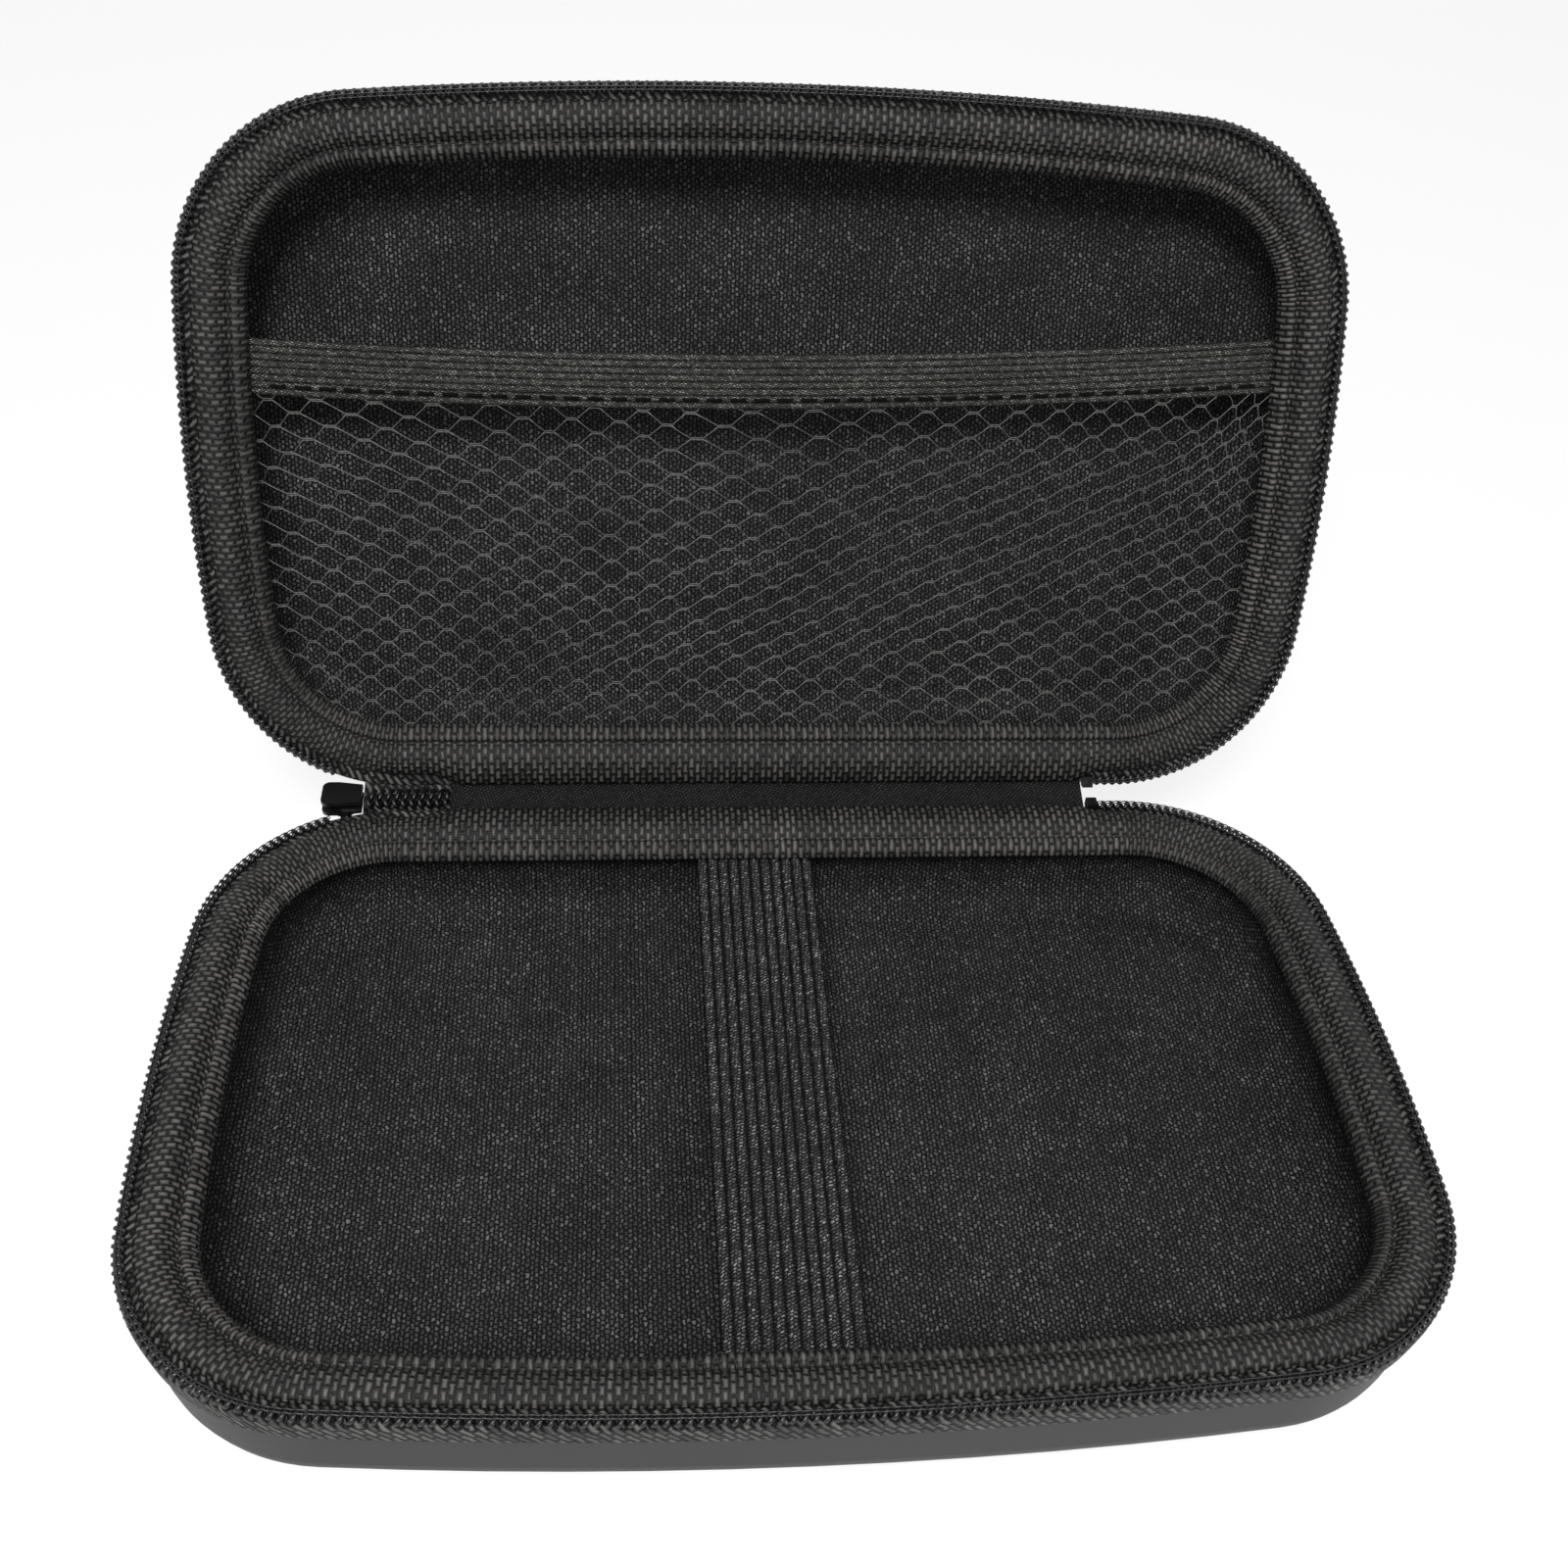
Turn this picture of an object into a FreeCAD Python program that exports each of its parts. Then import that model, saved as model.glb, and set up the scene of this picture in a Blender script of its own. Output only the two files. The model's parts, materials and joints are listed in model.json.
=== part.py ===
import FreeCAD, Part
import math
import os
import Sketcher
from FreeCAD import Placement, Rotation, Vector

# Handheld console carrying case, open, in millimetres.
# Two moulded foam halves meet at a parting plane and share one outline: a straight rear, round
# corners and slightly bowed sides and front. Each half is modelled mouth up, with the parting
# plane at z = 0 and the origin at the outline's centre. The base then moves up by its own height,
# so that its flat underside lies at z = 0. The lid is the same half turned over, and swung open
# about the hinge line behind the rear edge.

doc = FreeCAD.newDocument("console_case")
sheet = doc.addObject("Spreadsheet::Sheet", "sizes")

# Driving dimensions
DIMENSIONS = (
    ("case_width", 235.0),
    ("case_depth", 144.0),
    ("half_height", 28.0),
    ("corner_radius", 38.4),
    ("front_bow", 7.2),
    ("side_bow", 5.5),
    ("opening_angle", 108.9),
    ("seat_gap", 0.1),
    ("cloth_gap", 0.3),
    # Moulded shell: insets are measured inward from the outline
    ("shell_inset", 1.4),
    ("shell_wall", 5.4),
    ("shell_floor", 4.0),
    ("shell_draft", 5.3),
    ("foot_radius", 9.0),
    ("cavity_radius", 8.0),
    ("lining_thick", 0.8),
    # Zipper tape and coil
    ("coil_drop", 0.2),
    ("coil_width", 2.5),
    ("coil_height", 1.9),
    ("coil_round", 0.8),
    ("tape_thick", 0.6),
    ("tape_inset", 0.45),
    ("tape_tuck", 0.6),
    ("tape_leg", 7.8),
    # Binding over the edge of the shell
    ("binding_inset", 3.6),
    ("crest_inset", 5.5),
    ("crest_drop", 0.25),
    ("dome_inset", 4.3),
    ("dome_drop", 0.85),
    ("groove_inset", 10.6),
    ("groove_drop", 0.8),
    ("groove_depth", 0.7),
    ("groove_half", 0.4),
    ("lip_inset", 13.9),
    ("lip_drop", 4.5),
    ("lip_edge", 0.8),
    ("lip_under", 0.5),
    ("lip_root", 10.2),
    ("lip_bulge", 0.5),
    # Hinge and the ends of the zipper: the margins are measured from the outline's sides
    ("hinge_offset", 1.5),
    ("hinge_drop", 1.3),
    ("hinge_margin_left", 49.5),
    ("hinge_margin_right", 46.5),
    ("hinge_cloth", 0.5),
    ("hinge_wrap", 7.0),
    ("coil_margin", 24.5),
    ("stop_length", 2.4),
    ("stop_wall", 0.5),
    ("chain_length", 18.0),
    ("chain_width", 4.8),
    ("chain_height", 2.0),
    ("chain_shift", 0.7),
    ("chain_bulge", 0.3),
    # Slider and pull
    ("slider_length", 8.4),
    ("slider_nose", 7.0),
    ("slider_tail", 5.4),
    ("slider_waist", 0.8),
    ("slider_round", 1.5),
    ("slider_plate", 0.8),
    ("slider_channel", 1.8),
    ("slider_post", 2.0),
    ("slider_post_length", 2.7),
    ("slider_post_inset", 0.3),
    ("slider_flange", 0.7),
    ("bail_length", 4.4),
    ("bail_drop", 2.8),
    ("bail_thick", 1.4),
    ("bail_wall", 0.9),
    ("pin_size", 1.0),
    ("pull_width", 5.4),
    ("pull_neck", 4.3),
    ("pull_shoulder", 8.5),
    ("pull_length", 19.0),
    ("pull_thick", 1.2),
    ("pull_eye", 3.4),
    ("pull_slot", 2.4),
    ("pull_slot_top", 10.4),
    ("pull_slot_foot", 15.2),
    # Elastic strap across the base
    ("strap_centre", -3.0),
    ("strap_width", 24.5),
    ("strap_thick", 1.4),
    ("strap_bend", 1.0),
    ("rib_pitch", 2.2),
    ("rib_groove", 0.5),
    ("rib_depth", 0.25),
    # Pocket in the lid
    ("band_place", 17.0),
    ("band_width", 11.0),
    ("band_thick", 1.2),
    ("band_rib_pitch", 1.35),
    ("net_thick", 0.8),
    ("net_edge", 12.8),
    ("net_hem", 2.2),
    ("net_cell", 12.0),
    ("net_cord", 1.5),
    ("stitch_pitch", 4.8),
    ("stitch_length", 3.2),
    ("stitch_width", 0.6),
    ("stitch_height", 0.3),
    ("stitch_margin", 1.9),
)

for row, (alias, number) in enumerate(DIMENSIONS, start=1):
    sheet.set("A%d" % row, alias.replace("_", " "))
    sheet.set("B%d" % row, str(number))
    sheet.setAlias("B%d" % row, alias)
doc.recompute()


# A size carries its number and the sheet expression that gives it, so that a sketch is drawn
# from the number and held by the expression.
class Size:
    def __init__(self, number, text):
        self.number = number
        self.text = text

    def __float__(self):
        return float(self.number)

    def __add__(self, other):
        other = as_size(other)
        return Size(self.number + other.number, "(%s + %s)" % (self.text, other.text))

    def __sub__(self, other):
        other = as_size(other)
        return Size(self.number - other.number, "(%s - %s)" % (self.text, other.text))

    def __mul__(self, other):
        other = as_size(other)
        return Size(self.number * other.number, "(%s * %s)" % (self.text, other.text))

    def __truediv__(self, other):
        other = as_size(other)
        return Size(self.number / other.number, "(%s / %s)" % (self.text, other.text))

    def __neg__(self):
        return Size(-self.number, "(0 - %s)" % self.text)


def as_size(value):
    """A plain number becomes a size with that number as its expression."""
    if isinstance(value, Size):
        return value
    return Size(float(value), "%.6f" % value)


def size(alias):
    """The named cell of the sheet."""
    return Size(float(sheet.get(alias)), "sizes.%s" % alias)


def tangent(angle):
    return Size(math.tan(math.radians(angle.number)), "tan(%s)" % angle.text)


def cosine(angle):
    return Size(math.cos(math.radians(angle.number)), "cos(%s)" % angle.text)


def sine(angle):
    return Size(math.sin(math.radians(angle.number)), "sin(%s)" % angle.text)


# Two points or heights closer than this are the same, and a length below NOUGHT is none.
FUZZ = 1e-3
NOUGHT = 1e-9
# The middle of a quarter arc lies this share of its radius inside the corner it rounds.
QUARTER_NOOK = 1 - math.sqrt(0.5)

ZERO = as_size(0)
HALF_WIDTH = size("case_width") / 2
HALF_DEPTH = size("case_depth") / 2
GAP = size("seat_gap")
CLOTH_GAP = size("cloth_gap")
HINGE_LEFT = HALF_WIDTH - size("hinge_margin_left")
HINGE_RIGHT = HALF_WIDTH - size("hinge_margin_right")
COIL_END = HALF_WIDTH - size("coil_margin")


def arc_radius(half_chord, bow):
    """Radius of the arc that rises by bow over twice half_chord."""
    return (half_chord * half_chord + bow * bow) / (bow * 2)


SIDE_RADIUS = arc_radius(HALF_DEPTH, size("side_bow"))
FRONT_RADIUS = arc_radius(HALF_WIDTH, size("front_bow"))
CORNER = size("corner_radius")

# The arcs' centres are the same for every offset of the outline.
SIDE_CENTRE = HALF_WIDTH - SIDE_RADIUS
FRONT_CENTRE = FRONT_RADIUS - HALF_DEPTH
REAR_CENTRE = HALF_DEPTH - CORNER


def corner_centres():
    """Centres of the right rear and right front corner arcs."""
    reach = SIDE_RADIUS.number - CORNER.number
    rear = Vector(
        SIDE_CENTRE.number + math.sqrt(reach**2 - REAR_CENTRE.number**2), REAR_CENTRE.number, 0
    )
    drop = FRONT_RADIUS.number - CORNER.number
    side = Vector(SIDE_CENTRE.number, 0, 0)
    front = Vector(0, FRONT_CENTRE.number, 0)
    span = (side - front).Length
    along = (side - front) / span
    across = Vector(along.y, -along.x, 0)
    foot = (drop**2 - reach**2 + span**2) / (2 * span)
    rise = math.sqrt(drop**2 - foot**2)
    options = [front + along * foot + across * rise, front + along * foot - across * rise]
    return rear, min(options, key=lambda point: point.y)


REAR_CORNER, FRONT_CORNER = corner_centres()


def heading(point, centre):
    return math.atan2(point.y - centre.y, point.x - centre.x)


SIDE_POINT = Vector(SIDE_CENTRE.number, 0, 0)
FRONT_POINT = Vector(0, FRONT_CENTRE.number, 0)
REAR_TURN = heading(REAR_CORNER, SIDE_POINT)
FRONT_TURN = heading(FRONT_CORNER, SIDE_POINT)
FRONT_END = heading(FRONT_CORNER, FRONT_POINT)


def new_body(name):
    body = doc.addObject("PartDesign::Body", name)
    body.Label = name
    return body


def new_sketch(body, name, role="XY_Plane", offset=None):
    """A sketch on one of the body's own origin planes, lifted by offset along its normal."""
    sketch = body.newObject("Sketcher::SketchObject", name)
    plane = [item for item in body.Origin.OriginFeatures if item.Role == role][0]
    sketch.AttachmentSupport = (plane, "")
    sketch.MapMode = "FlatFace"
    if offset is not None:
        sketch.AttachmentOffset = Placement(Vector(0, 0, float(offset)), Rotation())
        sketch.setExpression("AttachmentOffset.Base.z", offset.text)
    return sketch


def hold(sketch, kind, places, length):
    """Add a dimension that follows its expression."""
    index = sketch.addConstraint(Sketcher.Constraint(kind, *places, float(length)))
    sketch.setExpression("Constraints[%d]" % index, length.text)


def pin(sketch, item, end, across, up):
    """Hold one point of a sketch at two driven distances from its origin."""
    for kind, length, axis in (("DistanceX", across, -2), ("DistanceY", up, -1)):
        if length is None:
            continue
        if abs(float(length)) < NOUGHT:
            sketch.addConstraint(Sketcher.Constraint("PointOnObject", item, end, axis))
        else:
            hold(sketch, kind, (-1, 1, item, end), length)


def draw_loop(sketch, corners):
    """A closed loop of straight edges. A corner with a third value starts an arc that passes
    through that middle point."""
    first = None
    previous = None
    count = len(corners)
    for index, corner in enumerate(corners):
        following = corners[(index + 1) % count]
        start = Vector(float(corner[0]), float(corner[1]), 0)
        end = Vector(float(following[0]), float(following[1]), 0)
        if len(corner) == 3:
            middle = Vector(float(corner[2][0]), float(corner[2][1]), 0)
            arc = Part.Arc(start, middle, end)
            item = sketch.addGeometry(arc)
            drawn = sketch.Geometry[item]
            forward = drawn.StartPoint.distanceToPoint(start) < FUZZ
            ends = (1, 2) if forward else (2, 1)
            marker = sketch.addGeometry(Part.Point(middle), True)
            pin(sketch, marker, 1, corner[2][0], corner[2][1])
            sketch.addConstraint(Sketcher.Constraint("PointOnObject", marker, 1, item))
        else:
            item = sketch.addGeometry(Part.LineSegment(start, end))
            ends = (1, 2)
        if previous is not None:
            sketch.addConstraint(
                Sketcher.Constraint("Coincident", previous[0], previous[1], item, ends[0])
            )
        pin(sketch, item, ends[0], corner[0], corner[1])
        if first is None:
            first = (item, ends[0])
        previous = (item, ends[1])
    sketch.addConstraint(Sketcher.Constraint("Coincident", previous[0], previous[1], *first))


def rim_arcs(inset):
    """The seven arcs of the outline, moved inward by inset and taken clockwise from the right
    rear corner: centre, radius, first and last heading, and where the centre is held."""
    corner = CORNER - inset
    side = SIDE_RADIUS - inset
    front = FRONT_RADIUS - inset
    left = -math.pi

    def mirrored(point):
        return Vector(-point.x, point.y, 0)

    return [
        (REAR_CORNER, corner, math.pi / 2, REAR_TURN, None),
        (SIDE_POINT, side, REAR_TURN, FRONT_TURN, (SIDE_CENTRE, ZERO)),
        (FRONT_CORNER, corner, FRONT_TURN, FRONT_END, None),
        (FRONT_POINT, front, FRONT_END, left - FRONT_END, (ZERO, FRONT_CENTRE)),
        (mirrored(FRONT_CORNER), corner, left - FRONT_END, left - FRONT_TURN, None),
        (mirrored(SIDE_POINT), side, left - FRONT_TURN, left - REAR_TURN, (-SIDE_CENTRE, ZERO)),
        (mirrored(REAR_CORNER), corner, left - REAR_TURN, left - math.pi / 2, None),
    ]


def add_arc(sketch, centre, radius, first, last, hand):
    """One arc of the outline. Returns its number and the ends met first and last on the way
    round. hand = -1 draws it on the other side of the Y axis."""
    if hand < 0:
        centre = Vector(-centre.x, centre.y, 0)
        first, last = math.pi - first, math.pi - last
    circle = Part.Circle(centre, Vector(0, 0, 1), float(radius))
    item = sketch.addGeometry(Part.ArcOfCircle(circle, min(first, last), max(first, last)))
    hold(sketch, "Radius", (item,), radius)
    return (item, 2, 1) if hand > 0 else (item, 1, 2)


def draw_rim(sketch, inset, start=None, finish=None, hand=1):
    """The outline moved inward by inset. Closed, or open from start on the rear edge, round by
    the front, to finish: both are distances from the middle, and finish may lie on the rear edge
    or on the far rear corner."""
    rear = HALF_DEPTH - inset
    sign = Size(hand, str(hand))
    begin = ZERO if start is None else start
    first_line = sketch.addGeometry(
        Part.LineSegment(
            Vector(hand * float(begin), float(rear), 0),
            Vector(hand * REAR_CORNER.x, float(rear), 0),
        )
    )
    sketch.addConstraint(Sketcher.Constraint("Horizontal", first_line))
    pin(sketch, first_line, 1, sign * begin, rear)
    last = (first_line, 2)
    arcs = rim_arcs(inset)
    stops_on_corner = finish is not None and float(finish) > REAR_CORNER.x
    if stops_on_corner:
        centre, radius, first, _, held = arcs[-1]
        turn = math.acos((float(finish) - REAR_CORNER.x) / float(radius))
        arcs[-1] = (centre, radius, first, -math.pi - turn, held)
    for centre, radius, first, final, held in arcs:
        item, near, far = add_arc(sketch, centre, radius, first, final, hand)
        sketch.addConstraint(Sketcher.Constraint("Tangent", last[0], last[1], item, near))
        if held is not None:
            pin(sketch, item, 3, sign * held[0], held[1])
        last = (item, far)
    if stops_on_corner:
        pin(sketch, last[0], 3, None, REAR_CENTRE)
        pin(sketch, last[0], last[1], sign * -finish, None)
        return
    end = ZERO if finish is None else finish
    last_line = sketch.addGeometry(
        Part.LineSegment(
            Vector(-hand * REAR_CORNER.x, float(rear), 0),
            Vector(-hand * float(end), float(rear), 0),
        )
    )
    sketch.addConstraint(Sketcher.Constraint("Tangent", last[0], last[1], last_line, 1))
    if finish is None:
        sketch.addConstraint(Sketcher.Constraint("Coincident", last_line, 2, first_line, 1))
    else:
        pin(sketch, last_line, 2, sign * -end, None)


def add_pad(body, name, sketch, length, draft=None, down=False, both=False):
    pad = body.newObject("PartDesign::Pad", name)
    pad.Profile = sketch
    pad.Length = float(length)
    pad.setExpression("Length", length.text)
    pad.Reversed = down
    if both:
        pad.SideType = "Symmetric"
    if draft is not None:
        pad.TaperAngle = float(draft)
        pad.setExpression("TaperAngle", draft.text)
    return pad


def add_pocket(body, name, sketch, length, draft=None, both=False):
    pocket = body.newObject("PartDesign::Pocket", name)
    pocket.Profile = sketch
    pocket.Length = float(length)
    pocket.setExpression("Length", length.text)
    if both:
        pocket.SideType = "Symmetric"
    if draft is not None:
        pocket.TaperAngle = float(draft)
        pocket.setExpression("TaperAngle", draft.text)
    return pocket


def level_edges(shape, height):
    """Names of the edges that lie level at that height."""
    names = []
    for number, edge in enumerate(shape.Edges, start=1):
        box = edge.BoundBox
        if abs(box.ZMin - height) < FUZZ and abs(box.ZMax - height) < FUZZ:
            names.append("Edge%d" % number)
    return names


def add_fillet(body, name, base, edges, radius):
    fillet = body.newObject("PartDesign::Fillet", name)
    fillet.Base = (base, edges)
    fillet.Radius = float(radius)
    fillet.setExpression("Radius", radius.text)
    return fillet


def add_sweep(body, name, profile, path):
    sweep = body.newObject("PartDesign::AdditivePipe", name)
    sweep.Profile = profile
    sweep.Spine = (path, [])
    return sweep


# Heights through the rim, measured down from the parting plane
COIL_TOP = size("coil_drop")
COIL_FOOT = COIL_TOP + size("coil_height")
TAPE_TOP = COIL_FOOT + GAP
TAPE_FOOT = TAPE_TOP + size("tape_thick")
SHELL_TOP = TAPE_FOOT + GAP
SHELL_DEPTH = size("half_height") - SHELL_TOP
SLOPE = tangent(size("shell_draft"))
CAVITY_INSET = size("shell_inset") + size("shell_wall")
LINING_INSET = CAVITY_INSET + GAP
LINING_FACE = LINING_INSET + size("lining_thick")
LIP_BOTTOM = size("lip_drop") + size("lip_under")


def build_tub(name, inset, depth, wall, floor, foot_radius, cove_radius):
    """A drafted tub that follows the outline: its top lies level with the shell's edge. The
    cove inside comes before the rounded foot outside, so that a thin wall is never cut."""
    body = new_body(name)
    draft = size("shell_draft")
    outline = new_sketch(body, name + "_outline", offset=-SHELL_TOP)
    draw_rim(outline, inset)
    block = add_pad(body, name + "_block", outline, depth, draft=-draft, down=True)
    doc.recompute()
    mouth = new_sketch(body, name + "_mouth", offset=-SHELL_TOP)
    draw_rim(mouth, inset + wall)
    hollow_depth = depth - floor
    hollow = add_pocket(body, name + "_hollow", mouth, hollow_depth, draft=-draft)
    doc.recompute()
    if hollow.Shape.Volume >= block.Shape.Volume:
        raise ValueError("the hollow of " + name + " cuts nothing")
    corner = level_edges(hollow.Shape, -(SHELL_TOP + hollow_depth).number)
    cove = add_fillet(body, name + "_cove", hollow, corner, cove_radius)
    doc.recompute()
    corner = level_edges(cove.Shape, -(SHELL_TOP + depth).number)
    add_fillet(body, name + "_foot", cove, corner, foot_radius)
    return body


def build_shell(side):
    """Moulded foam half: drafted outer wall with a rolled foot, and a drafted hollow."""
    return build_tub(
        side + "_shell",
        size("shell_inset"),
        SHELL_DEPTH,
        size("shell_wall"),
        size("shell_floor"),
        size("foot_radius"),
        size("cavity_radius"),
    )


def build_lining(side):
    """Knit lining: a thin tub that follows the hollow of the shell."""
    thick = size("lining_thick")
    outer_radius = size("cavity_radius") - GAP
    return build_tub(
        side + "_lining",
        LINING_INSET,
        SHELL_DEPTH - size("shell_floor") - GAP,
        thick,
        thick,
        outer_radius,
        outer_radius - thick,
    )


def rear(inset):
    """Distance from the centre of a line that runs inset inside the rear edge."""
    return HALF_DEPTH - as_size(inset)


def build_binding(side):
    """Grosgrain binding: a domed band over the edge, a sewn groove and a free lip that slopes
    down over the hollow."""
    body = new_body(side + "_binding")
    section = new_sketch(body, side + "_binding_section", "YZ_Plane")
    outer = size("binding_inset")
    crest = size("crest_inset")
    groove = size("groove_inset")
    half = size("groove_half")
    step = outer + size("tape_tuck") + GAP * 2
    top = -size("crest_drop")
    shoulder = -size("groove_drop")
    foot = -TAPE_FOOT
    lip_top = -size("lip_drop")
    dome = (rear(size("dome_inset")), -size("dome_drop"))
    slope_middle = (
        rear((groove + half + size("lip_inset")) / 2 + size("lip_bulge")),
        (shoulder + lip_top) / 2 + size("lip_bulge"),
    )
    draw_loop(
        section,
        [
            (rear(outer), -(TAPE_TOP - GAP), dome),
            (rear(crest), top),
            (rear(groove - half), shoulder),
            (rear(groove), shoulder - size("groove_depth")),
            (rear(groove + half), shoulder, slope_middle),
            (rear(size("lip_inset")), lip_top),
            (rear(size("lip_inset") - size("lip_edge")), -LIP_BOTTOM),
            (rear(size("lip_root")), foot),
            (rear(step), foot),
            (rear(step), -(TAPE_TOP - GAP)),
        ],
    )
    path = new_sketch(body, side + "_binding_path")
    draw_rim(path, outer)
    add_sweep(body, side + "_binding_sweep", section, path)
    return body


def build_zip_tape(side, hand):
    """Half of the zipper tape: it lies on the edge of the shell under the coil, and turns down
    over the outer wall."""
    body = new_body(side + "_zip_tape")
    start = HINGE_RIGHT + CLOTH_GAP
    section = new_sketch(
        body, side + "_zip_tape_section", "YZ_Plane", offset=Size(hand, str(hand)) * start
    )
    wall = size("shell_inset") - GAP
    turn = wall - size("tape_thick")
    leg_shift = (size("tape_leg") - SHELL_TOP) * SLOPE
    draw_loop(
        section,
        [
            (rear(turn), -TAPE_TOP),
            (rear(size("binding_inset") + size("tape_tuck")), -TAPE_TOP),
            (rear(size("binding_inset") + size("tape_tuck")), -TAPE_FOOT),
            (rear(wall), -TAPE_FOOT),
            (rear(wall + leg_shift), -size("tape_leg")),
            (rear(turn + leg_shift), -size("tape_leg")),
        ],
    )
    path = new_sketch(body, side + "_zip_tape_path")
    draw_rim(path, turn, start, HINGE_LEFT + CLOTH_GAP, hand)
    add_sweep(body, side + "_zip_tape_sweep", section, path)
    return body


def build_zip_coil(side, hand):
    """Half of the zipper's coil, as one rounded cord along the edge."""
    body = new_body(side + "_zip_coil")
    start = HINGE_RIGHT + CLOTH_GAP + size("stop_length")
    section = new_sketch(
        body, side + "_zip_coil_section", "YZ_Plane", offset=Size(hand, str(hand)) * start
    )
    inner = size("coil_width")
    cut = size("coil_round")
    nook = cut * QUARTER_NOOK
    draw_loop(
        section,
        [
            (rear(ZERO), -(COIL_TOP + cut), (rear(nook), -(COIL_TOP + nook))),
            (rear(cut), -COIL_TOP),
            (rear(inner - cut), -COIL_TOP, (rear(inner - nook), -(COIL_TOP + nook))),
            (rear(inner), -(COIL_TOP + cut)),
            (rear(inner), -(COIL_FOOT - cut), (rear(inner - nook), -(COIL_FOOT - nook))),
            (rear(inner - cut), -COIL_FOOT),
            (rear(cut), -COIL_FOOT, (rear(nook), -(COIL_FOOT - nook))),
            (rear(ZERO), -(COIL_FOOT - cut)),
        ],
    )
    path = new_sketch(body, side + "_zip_coil_path")
    draw_rim(path, ZERO, start, COIL_END, hand)
    add_sweep(body, side + "_zip_coil_sweep", section, path)
    return body


def build_zip_stop(side, hand):
    """Staple that closes the free end of a coil: a block as wide as the coil, with a crimped
    waist."""
    body = new_body(side + "_zip_stop")
    start = HINGE_RIGHT + CLOTH_GAP
    sign = Size(hand, str(hand))
    section = new_sketch(body, side + "_zip_stop_section", "YZ_Plane", offset=sign * start)
    inner = size("coil_width")
    draw_loop(
        section,
        [
            (rear(ZERO), -COIL_TOP),
            (rear(inner), -COIL_TOP),
            (rear(inner), -COIL_FOOT),
            (rear(ZERO), -COIL_FOOT),
        ],
    )
    block = add_pad(
        body, side + "_zip_stop_block", section, size("stop_length") - GAP, down=hand < 0
    )
    waist = new_sketch(body, side + "_zip_stop_waist", "XY_Plane", offset=-COIL_TOP)
    middle = sign * (start + (size("stop_length") - GAP) / 2)
    half = size("stop_wall")
    draw_loop(
        waist,
        [
            (middle - half, rear(size("stop_wall"))),
            (middle + half, rear(size("stop_wall"))),
            (middle + half, rear(inner - size("stop_wall"))),
            (middle - half, rear(inner - size("stop_wall"))),
        ],
    )
    add_pocket(body, side + "_zip_stop_crimp", waist, size("stop_wall"))
    return body


def build_strap():
    """Elastic strap: each end turns up behind the lip and stops under the binding."""
    body = new_body("elastic_strap")
    thick = size("strap_thick")
    top = -(LIP_BOTTOM + CLOTH_GAP)
    foot = top - thick
    end = -(TAPE_FOOT + CLOTH_GAP)
    wall = LINING_FACE + (-foot - SHELL_TOP) * SLOPE + CLOTH_GAP
    outer = rear(wall)
    inner = rear(wall + thick)
    profile = new_sketch(body, "strap_profile", "YZ_Plane", offset=size("strap_centre"))
    draw_loop(
        profile,
        [
            (outer, end),
            (inner, end),
            (inner, top),
            (-inner, top),
            (-inner, end),
            (-outer, end),
            (-outer, foot),
            (outer, foot),
        ],
    )
    band = add_pad(body, "strap_band", profile, size("strap_width"), both=True)
    doc.recompute()
    corners = [
        "Edge%d" % number
        for number, edge in enumerate(band.Shape.Edges, start=1)
        if edge.BoundBox.XLength > FUZZ
        and abs(edge.BoundBox.ZMax - foot.number) < FUZZ
        and abs(abs(edge.BoundBox.YMax) - outer.number) < FUZZ
    ]
    rounded = add_fillet(body, "strap_bends", band, corners, size("strap_bend"))
    doc.recompute()
    groove = new_sketch(body, "strap_groove", "XY_Plane", offset=top)
    edge = size("strap_centre") - size("strap_width") / 2 + size("rib_pitch")
    half = size("rib_groove") / 2
    reach = inner - thick * 2
    draw_loop(
        groove,
        [
            (edge - half, -reach),
            (edge + half, -reach),
            (edge + half, reach),
            (edge - half, reach),
        ],
    )
    cut = add_pocket(body, "strap_rib_cut", groove, size("rib_depth"))
    doc.recompute()
    if cut.Shape.Volume >= rounded.Shape.Volume:
        raise ValueError("the rib groove of the strap cuts nothing")
    count = int(size("strap_width").number / size("rib_pitch").number - 1)
    repeat_along_x(body, "strap_ribs", cut, size("rib_pitch"), count)
    return body


def origin_item(body, role):
    return [item for item in body.Origin.OriginFeatures if item.Role == role][0]


def repeat_along_x(body, name, feature, pitch, count, role="X_Axis"):
    """Repeat a feature along one of the body's axes and make the pattern the body's tip."""
    pattern = body.newObject("PartDesign::LinearPattern", name)
    pattern.Originals = [feature]
    pattern.Direction = (origin_item(body, role), [""])
    pattern.Length = float(pitch) * (count - 1)
    pattern.setExpression("Length", (pitch * (count - 1)).text)
    pattern.Occurrences = count
    body.Tip = pattern
    return pattern


# Hinge: the line about which the lid swings, behind and below the rear edges of the rims
HINGE_Y = HALF_DEPTH + size("hinge_offset")
HINGE_Z = size("half_height") - size("hinge_drop")


def on_base(inset, drop):
    """A point of the base's rear rim, seen from the hinge line."""
    return (-(size("hinge_offset") + as_size(inset)), size("hinge_drop") - as_size(drop))


def on_lid(inset, drop):
    """The same point of the lid's rear rim, with the lid open."""
    across = -(size("hinge_offset") + as_size(inset))
    up = size("hinge_drop") + as_size(drop)
    turn = size("opening_angle")
    return (
        across * cosine(turn) + up * sine(turn),
        up * cosine(turn) - across * sine(turn),
    )


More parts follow.
